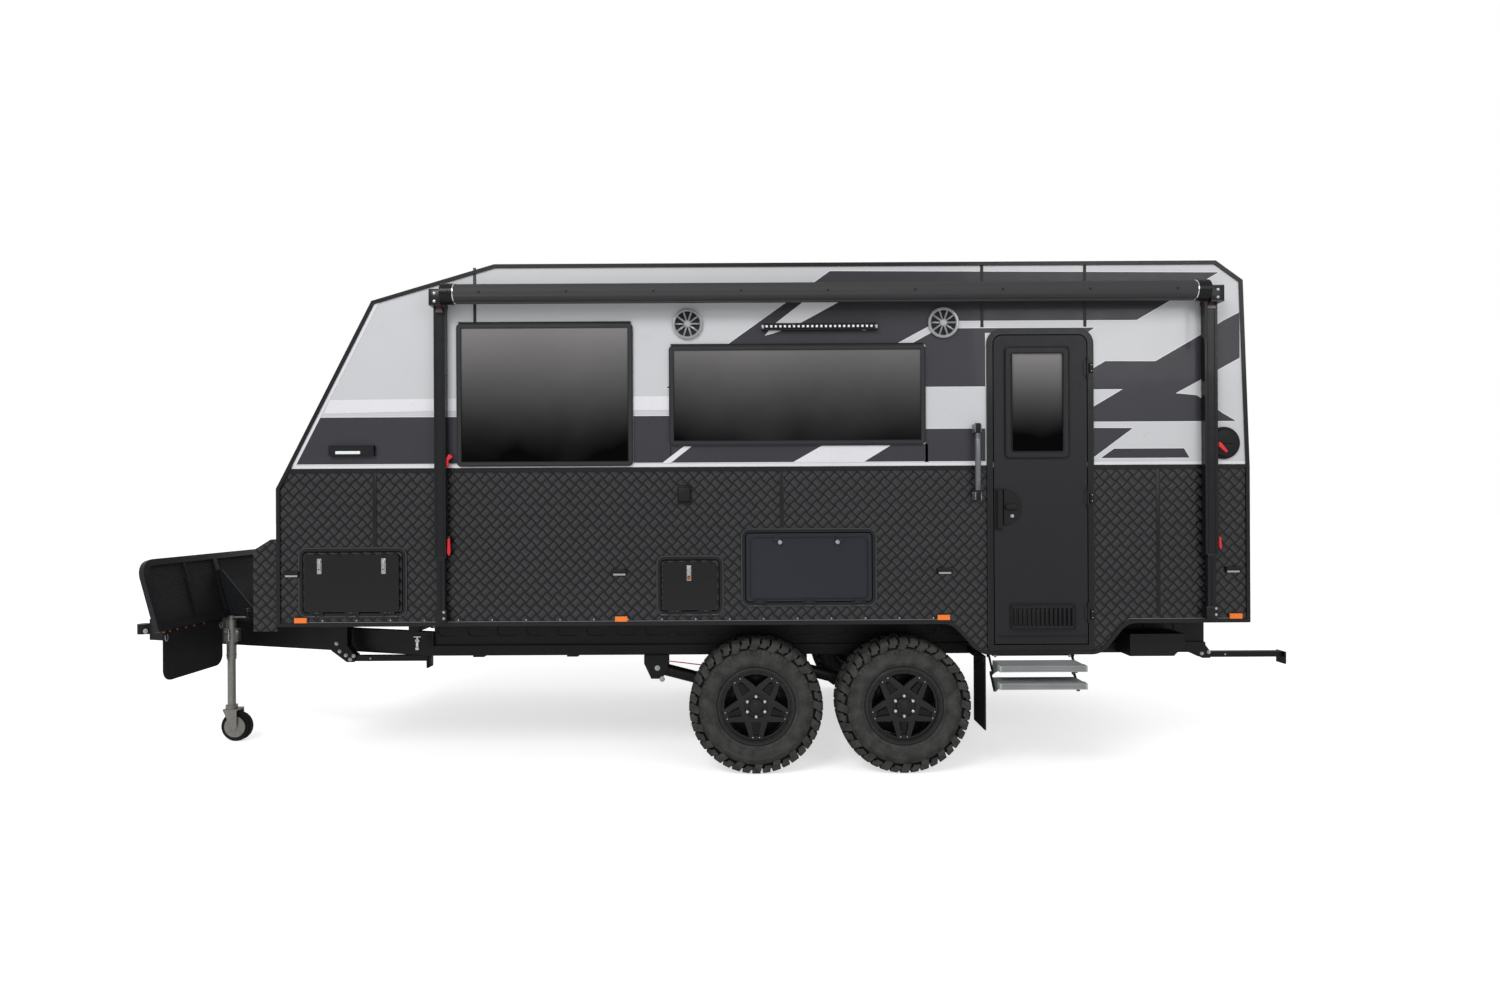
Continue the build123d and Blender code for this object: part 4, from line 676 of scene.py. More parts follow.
rear_sweep = [(6.48, 1.704), (6.553, 1.746), (6.848, 1.744), (7.154, 1.92), (7.243, 1.978), (7.35, 2.033),
              (7.35, 1.755), (7.245, 1.698), (7.158, 1.648), (6.981, 1.553), (7.093, 1.542), (7.163, 1.495),
              (7.246, 1.435), (7.337, 1.381), (6.48, 1.381), (6.48, 1.477), (6.641, 1.572), (6.48, 1.572)]
dark_shapes = [
    [(4.93, 2.286), (7.238, 2.266), (6.741, 1.98), (5.572, 1.98), (5.309, 1.84), (4.302, 1.84)],
    [(5.382, 1.84), (5.572, 1.944), (6.504, 1.944), (6.451, 1.908), (5.849, 1.908), (5.849, 1.592),
     (5.487, 1.592), (5.487, 1.84)],
    [(1.916, 1.436), (2.748, 1.436), (2.748, 1.152), (1.768, 1.152)],
    [(3.763, 1.436), (3.993, 1.436), (3.993, 1.152), (3.763, 1.152)],
    [(3.949, 1.593), (3.994, 1.627), (3.994, 1.593)],
    [(3.981, 1.262), (5.509, 1.262), (5.509, 1.152), (3.981, 1.152)],
    [(5.486, 1.352), (5.848, 1.352), (5.848, 1.152), (5.486, 1.152)],
    rear_sweep,
    [(6.48, 1.352), (6.726, 1.35), (6.48, 1.168)],
    [(6.512, 1.166), (6.601, 1.229), (7.017, 1.229), (7.055, 1.166)],
]
far_shapes = dark_shapes[:6] + [
    [(5.486, 1.352), (6.726, 1.352), (6.48, 1.152), (5.486, 1.152)],
    rear_sweep, dark_shapes[9],
    [(5.849, 1.592), (5.849, 1.908), (6.451, 1.908), (6.3, 1.8), (6.06, 1.592)],
]
white_shapes = [
    [(4.782, 2.109), (5.0, 2.108), (4.74, 1.967), (4.598, 1.915), (4.545, 1.903), (4.58, 1.945), (4.598, 1.968)],
    [(4.063, 1.251), (4.11, 1.251), (3.985, 1.153), (3.935, 1.153)],
    [(4.878, 1.251), (5.285, 1.251), (5.125, 1.154), (4.706, 1.154)],
    [(1.975, 1.536), (2.748, 1.541), (2.748, 1.47), (1.939, 1.455)],
    [(3.763, 1.549), (3.994, 1.549), (3.994, 1.467), (3.763, 1.467)],
]


def films(shapes):
    """Each dark shape over a white one that shows as its edge, and the white shapes over both."""
    under, over, top, edge_width = 0.0003, 0.0007, 0.0011, 0.004
    sheets = []
    for shape in shapes:
        sheets.append(film(white_line, shape, under))
        sheets.append(film(dark_film, shape, over, edge_width))
    for shape in white_shapes:
        sheets.append(film(white_line, shape, top))
    return joined(*sheets)


placed("films_near", films(dark_shapes))
placed("films_far", far_only(films(far_shapes)))

# White line above the waist and up the front slope; the painted highlight on the lower moulding's edge is drawn
# below
line_proud = 0.0012
line_low = film(white_line, [(1.748, 1.12), (1.762, 1.148), (7.378, 1.148), (7.378, 1.12)], line_proud)
line_slope = film(white_line, [(1.748, 1.148), (1.772, 1.148), (2.268, 2.11), (2.24, 2.11)], line_proud)
placed("waist_lines", both(joined(line_low, line_slope)))

# Joint strips on the upper and lower walls
strip_y = (-side_y - 0.003, -side_y + 0.001)
strips = [block(frame_grey, about(x, 0.009), strip_y, z, 0.0015)
          for x, z in ((2.834, (1.985, 2.312)), (5.827, (1.945, 2.312)), (6.434, (1.945, 2.312)))]
seams = []
for x, z in ((2.237, (0.672, 1.106)), (4.64, (0.772, 1.106)), (6.86, (0.24, 1.106))):
    seams.append(block(trim_black, about(x, 0.012), strip_y, z, 0.0012))
    seams.append(block(frame_dark, about(x, 0.0015), (-side_y - 0.0035, -side_y + 0.001), z, 0.0004))
placed("joint_strips", both(joined(*strips, *seams)))

# Painted highlight along the lower moulding's edge, a thin bright alloy line, and screws along the moulding
sill_highlight_and_screws = [block(alloy_light, x, (-side_y - 0.0086, -side_y - 0.0075), (0.2215, 0.2255), 0.0004)
        for x in ((1.8, 5.63), (6.68, 7.34))]
screw = rod(bolt_steel, (1.93, -side_y - 0.0096, 0.233), (1.93, -side_y - 0.004, 0.233), 0.0045, 12)
sill_highlight_and_screws.append(row(screw, 19, (0.2, 0, 0)))
placed("sill_highlight_lines_and_screws", both(joined(*sill_highlight_and_screws)))


# Windows: fine seal lines and the drip ledge over each

def window_dress(x, z):
    pieces = []
    for inset, proud, width in ((0.0255, 0.0146, 0.004), (0.0035, 0.0144, 0.003)):
        corners = [max(least, 0.028 - far) for least, far in ((0.004, inset), (0.003, inset + width))]
        insets = (inset, inset + width)
        pieces.append(fine_frame(frame_dark, x, z, insets, corners, side_y + proud, 0.0006, 6))
    ledge = block(frame_dark, (x[0] + 0.01, x[1] - 0.01), (-side_y - 0.014, -side_y + 0.001),
                  (z[1] + 0.001, z[1] + 0.009), 0.003)
    return pieces + [ledge]


window_parts = window_dress((2.727, 3.766), (1.137, 1.981)) + window_dress((3.979, 5.49), (1.255, 1.845))
placed("window_seals", both(joined(*window_parts)))


# Small fittings, each with its own finish

cap_parts, speaker_parts, other_parts = [], [], []
for part in from_node("wall_fittings"):
    (x, y, z), low, high = middle(part)
    if 4.0 < x < 4.2 and z > 1.8 or 5.5 < x < 5.7 and z > 1.8:
        speaker_parts.append(repaint(part, speaker_silver))
    elif x < 2.3:
        cap_parts.append(repaint(part, plastic_black))
    elif 5.7 < x < 5.9:
        cap_parts.append(repaint(part, alloy_light if high[2] - low[2] > 0.2 else plastic_black))
    else:
        other_parts.append(repaint(part, plastic_black))
placed("wall_fittings_dressed", joined(*cap_parts, *speaker_parts, *other_parts),
       stands_for=("wall_fittings",))

# Grab handle: alloy tube between black ends
grab_x, grab_y = 5.786, -1.27
grab = [rod(alloy_light, (grab_x, grab_y, 1.03), (grab_x, grab_y, 1.285), 0.0168, 32, 0.001)]
for z in (0.955, 1.345):
    grab.append(rod(plastic_black, (grab_x, grab_y, z - 0.03), (grab_x, grab_y, z + 0.03), 0.0172, 32, 0.004))
placed("grab_handle", joined(*grab))

# Light bar: lamps in a row, end rings and clips
led_step = (0.0267, 0, 0)
led = block(led_white, (4.55, 4.563), (-1.2578, -1.2545), (1.9435, 1.9565), 0.002)
fret = block(plastic_black, (4.5695, 4.5725), (-1.2584, -1.2545), (1.938, 1.962), 0.0008)
ends = [rod(bolt_steel, (x - 0.008, -1.238, 1.95), (x + 0.008, -1.238, 1.95), 0.0185, 24)
        for x in (4.535, 5.198)]
clips = [block(bolt_steel, about(x, 0.012), (-1.24, -1.219), (1.928, 1.972), 0.003) for x in (4.6, 5.13)]
bar_parts, side_lamp_parts = [], []
for part in from_node("clear_lamps"):
    (x, y, z), low, high = middle(part)
    (bar_parts if z > 1.5 else side_lamp_parts).append(repaint(part, frame_dark if z > 1.5 else white_lens))
placed("light_bar", joined(row(led, 24, led_step), row(fret, 23, led_step), *ends, *clips, *bar_parts),
       stands_for=("clear_lamps",))
placed("side_lamp_lenses", joined(*side_lamp_parts))

# Side lamps in their small hoods, markers in their bases
lamp_parts = []
for x in (1.748, 3.681, 5.599, 7.296):
    lamp_parts.append(block(plastic_black, about(x, 0.044), (-1.2385, -1.2195), (0.5035, 0.527), 0.004))
    for cheek in ((x - 0.044, x - 0.037), (x + 0.037, x + 0.044)):
        lamp_parts.append(block(plastic_black, cheek, (-1.234, -1.2195), (0.49, 0.525), 0.002))
for x in (1.802, 3.691, 5.59, 7.31):
    lamp_parts.append(block(plastic_black, about(x, 0.04), (-1.2245, -1.2195), (0.217, 0.255), 0.002))
placed("lamp_hoods", both(joined(*lamp_parts)))

# Porch lamp: a slim black body under a lit strip
porch_shape = [(1.978, 1.262), (2.243, 1.262), (2.243, 1.238), (2.205, 1.206), (2.016, 1.206), (1.978, 1.238)]
porch = [extruded(plastic_black, porch_shape, "Y", (-1.248, -1.2195), 0.005),
         block(led_white, (2.02, 2.165), (-1.251, -1.246), (1.214, 1.232), 0.003)]
placed("porch_lamp_cover", joined(*porch))

# Outlet flap and round cap
outlet = [block(plastic_black, (4.03, 4.102), (-1.252, -1.23), (0.925, 1.01), 0.008, 3),
          rod(plastic_black, (4.036, -1.246, 1.012), (4.096, -1.246, 1.012), 0.006, 16)]
cap_shape = [(0, -0.03), (0.04, -0.03), (0.046, -0.026), (0.07, -0.024), (0.078, -0.02), (0.082, -0.008),
             (0.0825, 0.0), (0, 0.0)]
cap = moved(turned(plastic_black, cap_shape, 48), (7.245, -1.222, 1.255))
cap_bar = block(plastic_black, (7.205, 7.285), (-1.262, -1.246), (1.249, 1.261), 0.005)
placed("outlet_and_cap", joined(*outlet, cap, cap_bar))


# Speakers: a silver ring, double spokes and a dark cone behind

def speaker(x, z):
    cone_shape = [(0, -0.006), (0.03, -0.007), (0.076, -0.01), (0.078, -0.004), (0, -0.002)]
    rim_shape = [(0.076, -0.002), (0.076, -0.017), (0.079, -0.02), (0.086, -0.019), (0.09, -0.014),
                 (0.09, -0.001)]
    hub_shape = [(0, -0.0215), (0.016, -0.0215), (0.02, -0.019), (0.021, -0.008)]
    cone = turned(frame_dark, cone_shape, 40)
    rim = turned(speaker_silver, rim_shape, 48)
    hub = turned(speaker_silver, hub_shape, 32)
    spoke = block(speaker_silver, (0.018, 0.079), (-0.0185, -0.0145), (0.0018, 0.0044), 0.0008)
    spoke = joined(spoke, twin(spoke, (0, 0, -0.0062)))
    return moved(joined(cone, rim, hub, ring(spoke, 5)), (x, -side_y - 0.0005, z))


placed("speakers", joined(speaker(4.09, 1.972), speaker(5.597, 1.972)))


# Tyres: carcass, shoulder lugs by turns long and short, staggered tread blocks, ribs on the sidewall

def mud_tyre():
    """Mud tyre round the Y axis: carcass, a darker ring under the tread as painted shade between the lugs, lugs,
    blocks and fine ribs.
    """
    half = [(0.219, 0.0985), (0.235, 0.1), (0.2365, 0.113), (0.248, 0.124), (0.266, 0.1295),
            (0.29, 0.1318), (0.305, 0.132), (0.3065, 0.1334), (0.314, 0.1334), (0.3155, 0.1306),
            (0.34, 0.124), (0.36, 0.112), (0.375, 0.094), (0.383, 0.06), (0.385, 0.0)]
    profile = [(r, -y) for r, y in half] + [(r, y) for r, y in reversed(half[:-1])]
    # Painted shade between the lugs: a ring of near-black rubber over the crown and shoulders, darker than the
    # grey carcass
    groove_shade_ring = [(0.33, 0.12), (0.3405, 0.1246), (0.3606, 0.1126), (0.3756, 0.0946), (0.3836, 0.06), (0.3856, 0.0)]
    groove_shade_ring = [(r, -y) for r, y in groove_shade_ring] + [(r, y) for r, y in reversed(groove_shade_ring[:-1])]
    parts = [turned(rubber, profile, 72, closed=True), turned(rubber_black, groove_shade_ring, 72, closed=True)]
    long_lug = [(-0.058, 0.376), (-0.058, 0.4008), (-0.108, 0.3995), (-0.1265, 0.3905), (-0.1335, 0.376),
                (-0.1335, 0.366), (-0.118, 0.366)]
    short_lug = [(-0.066, 0.376), (-0.066, 0.4008), (-0.108, 0.3995), (-0.1255, 0.39), (-0.1325, 0.378),
                 (-0.1325, 0.368), (-0.118, 0.368)]
    pitches = 20
    step = 2 * pi / pitches
    groove_floor, crown = 0.378, 0.4008
    for outline, at, width in ((long_lug, 0.0, 0.025), (short_lug, 0.5, 0.0225)):
        lug = extruded(rubber, outline, "X", (-width, width), 0.0022)
        foot = 0.336 if at == 0.0 else 0.352
        slope = extruded(rubber, [(-width, 0.384), (width, 0.384), (width - 0.022, foot),
                                  (-width - 0.016, foot + 0.004)], "Y", (-0.133, -0.112), 0.002)
        pieces = [lug, slope]
        if at == 0.0:
            edge = [(-0.1338, 0.345), (-0.1338, 0.372), (-0.1345, 0.372), (-0.1345, 0.345)]
            pieces.append(extruded(rubber, edge, "X", (-0.004, 0.004)))
        near = ring(joined(*pieces), pitches)
        turn_about(near, at * step)
        far = far_copy(near)
        turn_about(far, 0.25 * step)
        parts += [near, far]
    for y, at in ((-0.031, 0.1), (0.031, 0.35)):
        chevron = [(-0.024, y - 0.022), (-0.006, y - 0.026), (0.02, y - 0.014), (0.026, y + 0.02),
                   (0.004, y + 0.026), (-0.02, y + 0.012)]
        cubes = ring(extruded(rubber, chevron, "Z", (groove_floor, crown), 0.002), pitches)
        turn_about(cubes, at * step)
        small = [(-0.012, y - 0.02), (0.01, y - 0.018), (0.014, y + 0.018), (-0.009, y + 0.02)]
        little = ring(extruded(rubber, small, "Z", (groove_floor, crown - 0.0018), 0.0015), pitches)
        turn_about(little, (at + 0.5) * step)
        parts += [cubes, little]
    for count, low, high, out, width in ((72, 0.3175, 0.336, 0.1312, 0.0022),
                                         (90, 0.25, 0.26, 0.1295, 0.0012)):
        rib = ring(block(rubber, (-width, width), (-out - 0.0016, -out + 0.006), (low, high), 0.0006, 1),
                   count)
        parts += [rib, far_copy(rib)]
    return joined(*parts)


# Wheels: bright lip line, lip studs, nuts in their recess and a stepped cap. The face looks towards -Y.

def wheel_dress():
    """All that sits on a wheel's face: lips, studs, nuts, cap, screws, and black plates on its spokes painted as
    the shade in their pockets.
    """
    brake_ring = [(0.148, 0.02), (0.148, 0.023), (0.204, 0.023), (0.204, 0.02)]
    outer_lip = [(0.2185, -0.1128), (0.22, -0.115), (0.229, -0.115), (0.2318, -0.113),
                 (0.2318, -0.11), (0.2185, -0.11)]
    inner_lip = [(0.205, -0.08), (0.205, -0.112), (0.207, -0.115), (0.211, -0.115),
                 (0.213, -0.112), (0.218, -0.1125), (0.218, -0.09)]
    hub_ring = [(0.07, -0.09), (0.07, -0.101), (0.074, -0.1022), (0.079, -0.101), (0.08, -0.099),
                (0.08, -0.09)]
    cap = [(0, -0.1165), (0.02, -0.1165), (0.0225, -0.115), (0.024, -0.112), (0.039, -0.111),
           (0.0425, -0.108), (0.044, -0.1), (0.044, -0.09)]
    parts = [turned(frame_dark, brake_ring, 48, closed=True), turned(wheel_lip, outer_lip, 72, closed=True),
             turned(wheel_black, inner_lip, 72, closed=True)]
    stud = rod(wheel_lip, (0, -0.1168, 0.2245), (0, -0.114, 0.2245), 0.003, 8, 0.0008)
    parts.append(ring(stud, 30))
    notch = block(frame_dark, (-0.009, 0.009), (-0.1152, -0.11), (0.2062, 0.2118), 0.001, 1)
    parts.append(turn_about(ring(notch, 20), radians(9)))
    nut = [rod(bolt_steel, (0, -0.121, 0.06), (0, -0.088, 0.06), 0.0105, 6, 0.002),
           rod(wheel_lip, (0, -0.096, 0.06), (0, -0.089, 0.06), 0.0138, 20, 0.002),
           rod(chrome, (0, -0.1245, 0.06), (0, -0.12, 0.06), 0.007, 12, 0.002)]
    parts.append(ring(joined(*nut), 6))
    parts.append(turned(wheel_black, cap, 48))
    tooth = extruded(wheel_black, [(-0.0045, 0.03), (0.0045, 0.03), (0.0022, 0.0405), (-0.0022, 0.0405)],
                     "Y", (-0.115, -0.11), 0.0008)
    parts.append(ring(tooth, 12))
    parts.append(turned(wheel_black, hub_ring, 60, closed=True))
    screws = [rod(bolt_steel, (x, -0.103, 0.188), (x, -0.096, 0.188), 0.0042, 8, 0.001)
              for x in (-0.02, 0.02)]
    # Painted shade: a thin black plate on each spoke's face stands for the shade in the open pocket between its
    # legs
    pocket_shade_plate = extruded(frame_dark, [(-0.019, 0.1), (0.019, 0.1), (0.014, 0.148), (0.006, 0.164),
                                   (-0.006, 0.164), (-0.014, 0.148)], "Y", (-0.1001, -0.0985), 0.0004)
    parts.append(turn_about(ring(joined(*screws, pocket_shade_plate), 5), pi))
    return joined(*parts)


tyre_model = mud_tyre()
dress_model = wheel_dress()
for place, (x, y) in wheel_places.items():
    body = "wheel_" + place
    placed("tyre_tread_" + place, twin(tyre_model, (x, y, axle_z)), body, ("tyre_" + place,))
    face = twin(dress_model)
    if y > 0:
        turn_about(face, pi, "Z")
    placed("wheel_dress_" + place, moved(face, (x, y, axle_z)), body)
for model in (tyre_model, dress_model):
    bpy.data.objects.remove(model)


# Awning: cloth lapped on its roller, ridged end caps, arms with their slots, red levers and a strap

roller_y, roller_z = -1.318, 2.133
cloth = [(0.0562 + 0.0011 * (1 - i / 40), 2 * pi * i / 40 + radians(200)) for i in range(41)]
cloth = [(roller_y + r * cos(a), roller_z + r * sin(a)) for r, a in cloth]
parts = [extruded(awning_cloth, cloth, "X", (2.752, 7.029)),
         block(awning_cloth, (2.76, 7.02), (-1.342, -1.339), (2.074, 2.086), 0.001)]
ridges = [(0.0, -0.036)]
for a in [-0.036 + i * 0.0078 for i in range(9)]:
    ridges += [(0.0612, a), (0.0612, a + 0.005), (0.0588, a + 0.0054), (0.0588, a + 0.0074)]
ridges.append((0.0, 0.036))
collar = [(0.0575, -0.004), (0.06, -0.003), (0.06, 0.003), (0.0575, 0.004)]
for cap_x, collar_x in ((2.7135, 2.7535), (7.071, 7.0275)):
    parts.append(moved(turned(trim_black, ridges, 40, "X"), (cap_x, roller_y, roller_z)))
    parts.append(moved(turned(chrome, collar, 40, "X", True), (collar_x, roller_y, roller_z)))
stud = block(frame_dark, (2.9, 2.912), (-1.3772, -1.3735), (2.128, 2.138), 0.002)
parts.append(row(stud, 9, (0.5, 0, 0)))
placed("awning_cloth", joined(*parts), stands_for=("awning_roller",))

arm_parts = []
front = -1.274         # outer face of the arms
for x0, x1 in ((2.609, 2.675), (7.112, 7.187)):
    mid = (x0 + x1) / 2
    top = [(x0 + 0.01, 2.038), (x1 - 0.01, 2.038), (x1 - 0.016, 2.056), (x0 + 0.016, 2.056)]
    foot_y = front - 0.002
    arm_parts += [block(frame_dark, about(x, 0.0022), (front - 0.0012, front + 0.001), (0.61, 2.05), 0.0004,
                        1) for x in about(mid, 0.02)]
    arm_parts += [
        block(trim_black, about(mid, 0.0255), (front - 0.0005, front + 0.02), (0.585, 0.606), 0.003),
        block(frame_dark, about(mid, 0.004), (front + 0.0045, front + 0.008), (0.3, 0.585), 0.0006, 1),
        block(trim_black, (x0 + 0.001, x1 - 0.001), (-1.35, -1.343), (2.07, 2.15), 0.003),
        extruded(alloy_light, top, "Y", (front - 0.004, front), 0.001),
        block(red_plastic, about(mid, 0.013), (front - 0.0035, front), (2.06, 2.067), 0.001),
        block(trim_black, about(mid, 0.036), (foot_y, -1.2195), (0.236, 0.3), 0.004),
    ]
    arm_parts += [hex_bolt((mid, -1.35, z), (0, -1, 0), 0.006, 0.005) for z in (2.085, 2.13)]
    arm_parts += [hex_bolt((mid + 0.02, foot_y, z), (0, -1, 0), 0.0055, 0.005) for z in (0.25, 0.286)]
placed("awning_arm_dress", joined(*arm_parts))


def lever(points):
    """Slim plastic lever: an outline in X and Z with its edges eased."""
    return extruded(red_plastic, points, "Y", (-1.262, -1.246), 0.002)


levers = [
    lever([(2.69, 1.212), (2.668, 1.178), (2.676, 1.136), (2.69, 1.138), (2.686, 1.172), (2.712, 1.196)]),
    lever([(2.692, 0.72), (2.68, 0.716), (2.676, 0.63), (2.688, 0.612), (2.696, 0.636)]),
    lever([(7.2, 1.262), (7.214, 1.256), (7.252, 1.206), (7.244, 1.196), (7.222, 1.214), (7.196, 1.236)]),
    lever([(7.196, 0.706), (7.21, 0.702), (7.214, 0.64), (7.204, 0.628), (7.196, 0.65)]),
]
for x, z in ((2.678, 1.176), (2.684, 0.716), (7.2, 1.24), (7.196, 0.704)):
    levers.append(rod(trim_black, (x - 0.006, -1.252, z), (x + 0.012, -1.252, z), 0.007, 16))
    levers.append(block(trim_black, about(x, 0.012), (-1.258, -1.2195), about(z, 0.014), 0.003))
placed("awning_levers", joined(*levers))
strap = [block(strap_cloth, (7.085, 7.105), (-1.3235, -1.3215), (1.845, 2.09), 0.0008),
         block(strap_cloth, (7.083, 7.107), (-1.3245, -1.3205), (1.832, 1.86), 0.0015),
         block(trim_black, (7.084, 7.112), (-1.325, -1.27), (2.07, 2.084), 0.002)]
placed("awning_strap", joined(*strap))


# Entry door: beads round its window, kick line, vent slats, lock, hinge leaves and frame beads

door_face_y = 1.2464
slat = block(plastic_black, (6.0, 6.0135), (-1.249, -1.243), (0.186, 0.287), 0.0018)
door_parts = [
    fine_frame(frame_dark, (5.956, 6.334), (1.172, 1.827), (0, 0.004), (0.024, 0.021), door_face_y, 0.0006),
    fine_frame(frame_dark, (5.991, 6.299), (1.207, 1.792), (0, 0.005), (0.012, 0.01), door_face_y, 0.0008),
    fine_frame(plastic_black, (5.984, 6.363), (0.16, 0.313), (0, 0.006), (0.012, 0.008), door_face_y + 0.0006,
               0.003, 4),
    block(frame_dark, (5.905, 6.432), (-1.2466, -1.245), (0.1225, 0.1255), 0.0006, 1),
    row(slat, 14, (0.0262, 0, 0)),
]
placed("door_dress", joined(*door_parts), "door")

turns = [radians(-90 + 180 * i / 14) for i in range(15)]
lock_arc = [(5.942 + 0.104 * cos(a), 0.886 + 0.104 * sin(a)) for a in turns]
lock_plate = [(5.904, 0.756), (5.932, 0.752), (5.936, 0.77), (5.936, 0.972), (5.932, 0.99), (5.904, 0.986)]
key_shape = [(0, -0.004), (0.009, -0.004), (0.011, -0.002), (0.011, 0.002), (0, 0.002)]
lock = [extruded(plastic_black, lock_arc, "Y", (-1.25, -1.244), 0.002),
        extruded(plastic_black, lock_plate, "Y", (-1.256, -1.244), 0.003),
        block(plastic_black, (5.95, 6.022), (-1.264, -1.25), (0.868, 0.902), 0.006, 3),
        moved(turned(bolt_steel, key_shape, 24), (5.99, -1.2515, 0.832))]
placed("door_handle", joined(*lock), "door")

hinge_leafs = []
for z in (0.25, 0.935, 1.7):
    hinge_leafs.append(block(frame_dark, (6.452, 6.474), (-1.24, -1.231), about(z, 0.03), 0.002))
    hinge_leafs += [rod(bolt_steel, (6.465, -1.2412, at), (6.465, -1.238, at), 0.0032, 8, 0.0006)
                    for at in about(z, 0.018)]
placed("door_hinge_leafs", joined(*hinge_leafs))
frame_bead = [block(frame_grey, x, (-1.233, -1.2312), (0.06, 1.86), 0.0005, 1)
              for x in ((5.8525, 5.855), (6.474, 6.4765))]
placed("door_frame_beads", joined(*frame_bead))


# Hatches: black sheet and pressed line on each lid, latches, a bead round each frame and hinges at its foot

lid_face_y = 1.2394


def latch(x, z):
    """Over-centre latch: back plate, loop, lever and keyhole."""
    plate = block(bolt_steel, about(x, 0.013), (-1.2425, -1.2385), about(z, 0.045), 0.003)
    hook = rod(bolt_steel, (x - 0.011, -1.246, z + 0.03), (x + 0.011, -1.246, z + 0.03), 0.0045, 12)
    arm = block(bolt_steel, about(x, 0.008), (-1.248, -1.243), (z - 0.034, z + 0.026), 0.003, 3)
    eye = rod(frame_dark, (x, -1.249, z - 0.018), (x, -1.247, z - 0.018), 0.0045, 12)
    return joined(plate, hook, arm, eye)


def lid_line(x, z, corner):
    """Fine dark line pressed into a lid, a little in from its edge."""
    inset, width = 0.022, 0.0035
    corners = (corner, max(0.003, corner - width))
    return fine_frame(frame_dark, x, z, (inset, inset + width), corners, lid_face_y, 0.0006)


def lid_sheet(x, z):
    """Plain black sheet over a lid."""
    return on_side(black_sheet, [rounded_outline(x, z, 0.018, 5)], lid_face_y - 0.0001, 0.0012)


tunnel = joined(lid_sheet((1.829, 2.385), (0.286, 0.623)),
                lid_line((1.817, 2.397), (0.274, 0.635), 0.014), latch(1.918, 0.555), latch(2.296, 0.555))
placed("tunnel_hatch_dress_near", twin(tunnel), "tunnel_hatch_near")
placed("tunnel_hatch_dress_far", far_only(tunnel), "tunnel_hatch_far")
placed("small_hatch_dress", joined(
    lid_sheet((3.94, 4.254), (0.286, 0.567)),
    lid_line((3.929, 4.265), (0.275, 0.578), 0.014), latch(4.092, 0.505),
    block(copper, (4.082, 4.102), (-1.2488, -1.247), (0.466, 0.492), 0.002)), "small_hatch")
knob = [(0, -0.012), (0.008, -0.012), (0.011, -0.01), (0.012, -0.004), (0.014, 0.0), (0, 0.0)]
knobs = [moved(turned(bolt_steel, knob, 24), (x, -1.239, 0.683)) for x in (4.628, 4.967)]
placed("table_hatch_dress", joined(lid_line((4.429, 5.168), (0.325, 0.735), 0.03), *knobs), "table_hatch")

hatch_beads = []
for x, z in (((1.786, 2.428), (0.252, 0.666)), ((3.898, 4.296), (0.253, 0.609)),
             ((4.398, 5.199), (0.303, 0.766))):
    hatch_beads.append(fine_frame(bead_grey, x, z, (0.002, 0.007), (0.048, 0.043), 1.2264, 0.0008, 6))
    for share in (0.12, 0.5, 0.88):
        at = x[0] + share * (x[1] - x[0])
        ends = [(at + side * 0.022, -1.229, z[0] + 0.006) for side in (-1, 1)]
        hatch_beads.append(rod(bead_grey, *ends, 0.0055, 12))
placed("hatch_beads", joined(*hatch_beads))


# Stone guard: woven wire in each panel, copper screws, the flaps' clamp bars and shackles

guard_wires = []
low_x, low_z, high_x, high_z = 0.815, 0.18, 0.722, 0.54
wire_step, wire_radius = 0.01, 0.0019
up_step = ((high_x - low_x) / 36.5, 0, (high_z - low_z) / 36.5)
for first, last in ((-1.006, -0.664), (-0.656, -0.344), (-0.336, 0.336), (0.344, 0.656), (0.664, 1.006)):
    y, z = first + wire_step / 2, low_z + 0.006
    upright = rod(wire_grey, (low_x, y, low_z), (high_x, y, high_z), wire_radius, 4, 0.0001)
    guard_wires.append(row(upright, int((last - first) / wire_step), (0, wire_step, 0)))
    level_wire = rod(wire_grey, (low_x, first, z), (low_x, last, z), wire_radius, 4, 0.0001)
    guard_wires.append(row(level_wire, 36, up_step))
placed("guard_wires", joined(*guard_wires))

guard_parts = [block(chassis_black, (0.815, 0.8262), (-1.0, -0.42), (0.127, 0.15), 0.003)]
for y in (-0.62, -0.72, -0.8, -0.88, -0.95, -1.0):
    guard_parts.append(rod(copper, (0.83, y, 0.1385), (0.8415, y, 0.1385), 0.008, 12, 0.002))
for y in (-0.98, -0.44):
    shackle = [(0.835, y - 0.012, 0.118), (0.838, y - 0.014, 0.09), (0.838, y, 0.076),
               (0.838, y + 0.014, 0.09), (0.835, y + 0.012, 0.118)]
    guard_parts.append(tube(bolt_steel, shackle, 0.0032))
placed("guard_dress", both(joined(*guard_parts)))

# Coupling: pin, upright handle and its bolts
coupling_parts = [
    rod(bolt_steel, (0.04, -0.052, 0.0), (0.04, 0.052, 0.0), 0.008, 16),
    hex_bolt((0.04, -0.046, 0.0), (0, -1, 0), 0.0125, 0.01),
    hex_bolt((0.1, -0.033, 0.015), (0, -1, 0), 0.0105, 0.009),
    rod(chassis_black, (0.075, 0, 0.036), (0.075, 0, 0.092), 0.01, 16),
    rod(chassis_black, (0.075, 0, 0.085), (0.14, 0, 0.094), 0.009, 16, 0.003),
]
for y in (-0.105, 0.105):
    for z in (-0.026, 0.06):
        coupling_parts.append(hex_bolt((0.1335, y, z), (-1, 0, 0), 0.0095, 0.009))
placed("coupling_dress", joined(*coupling_parts))

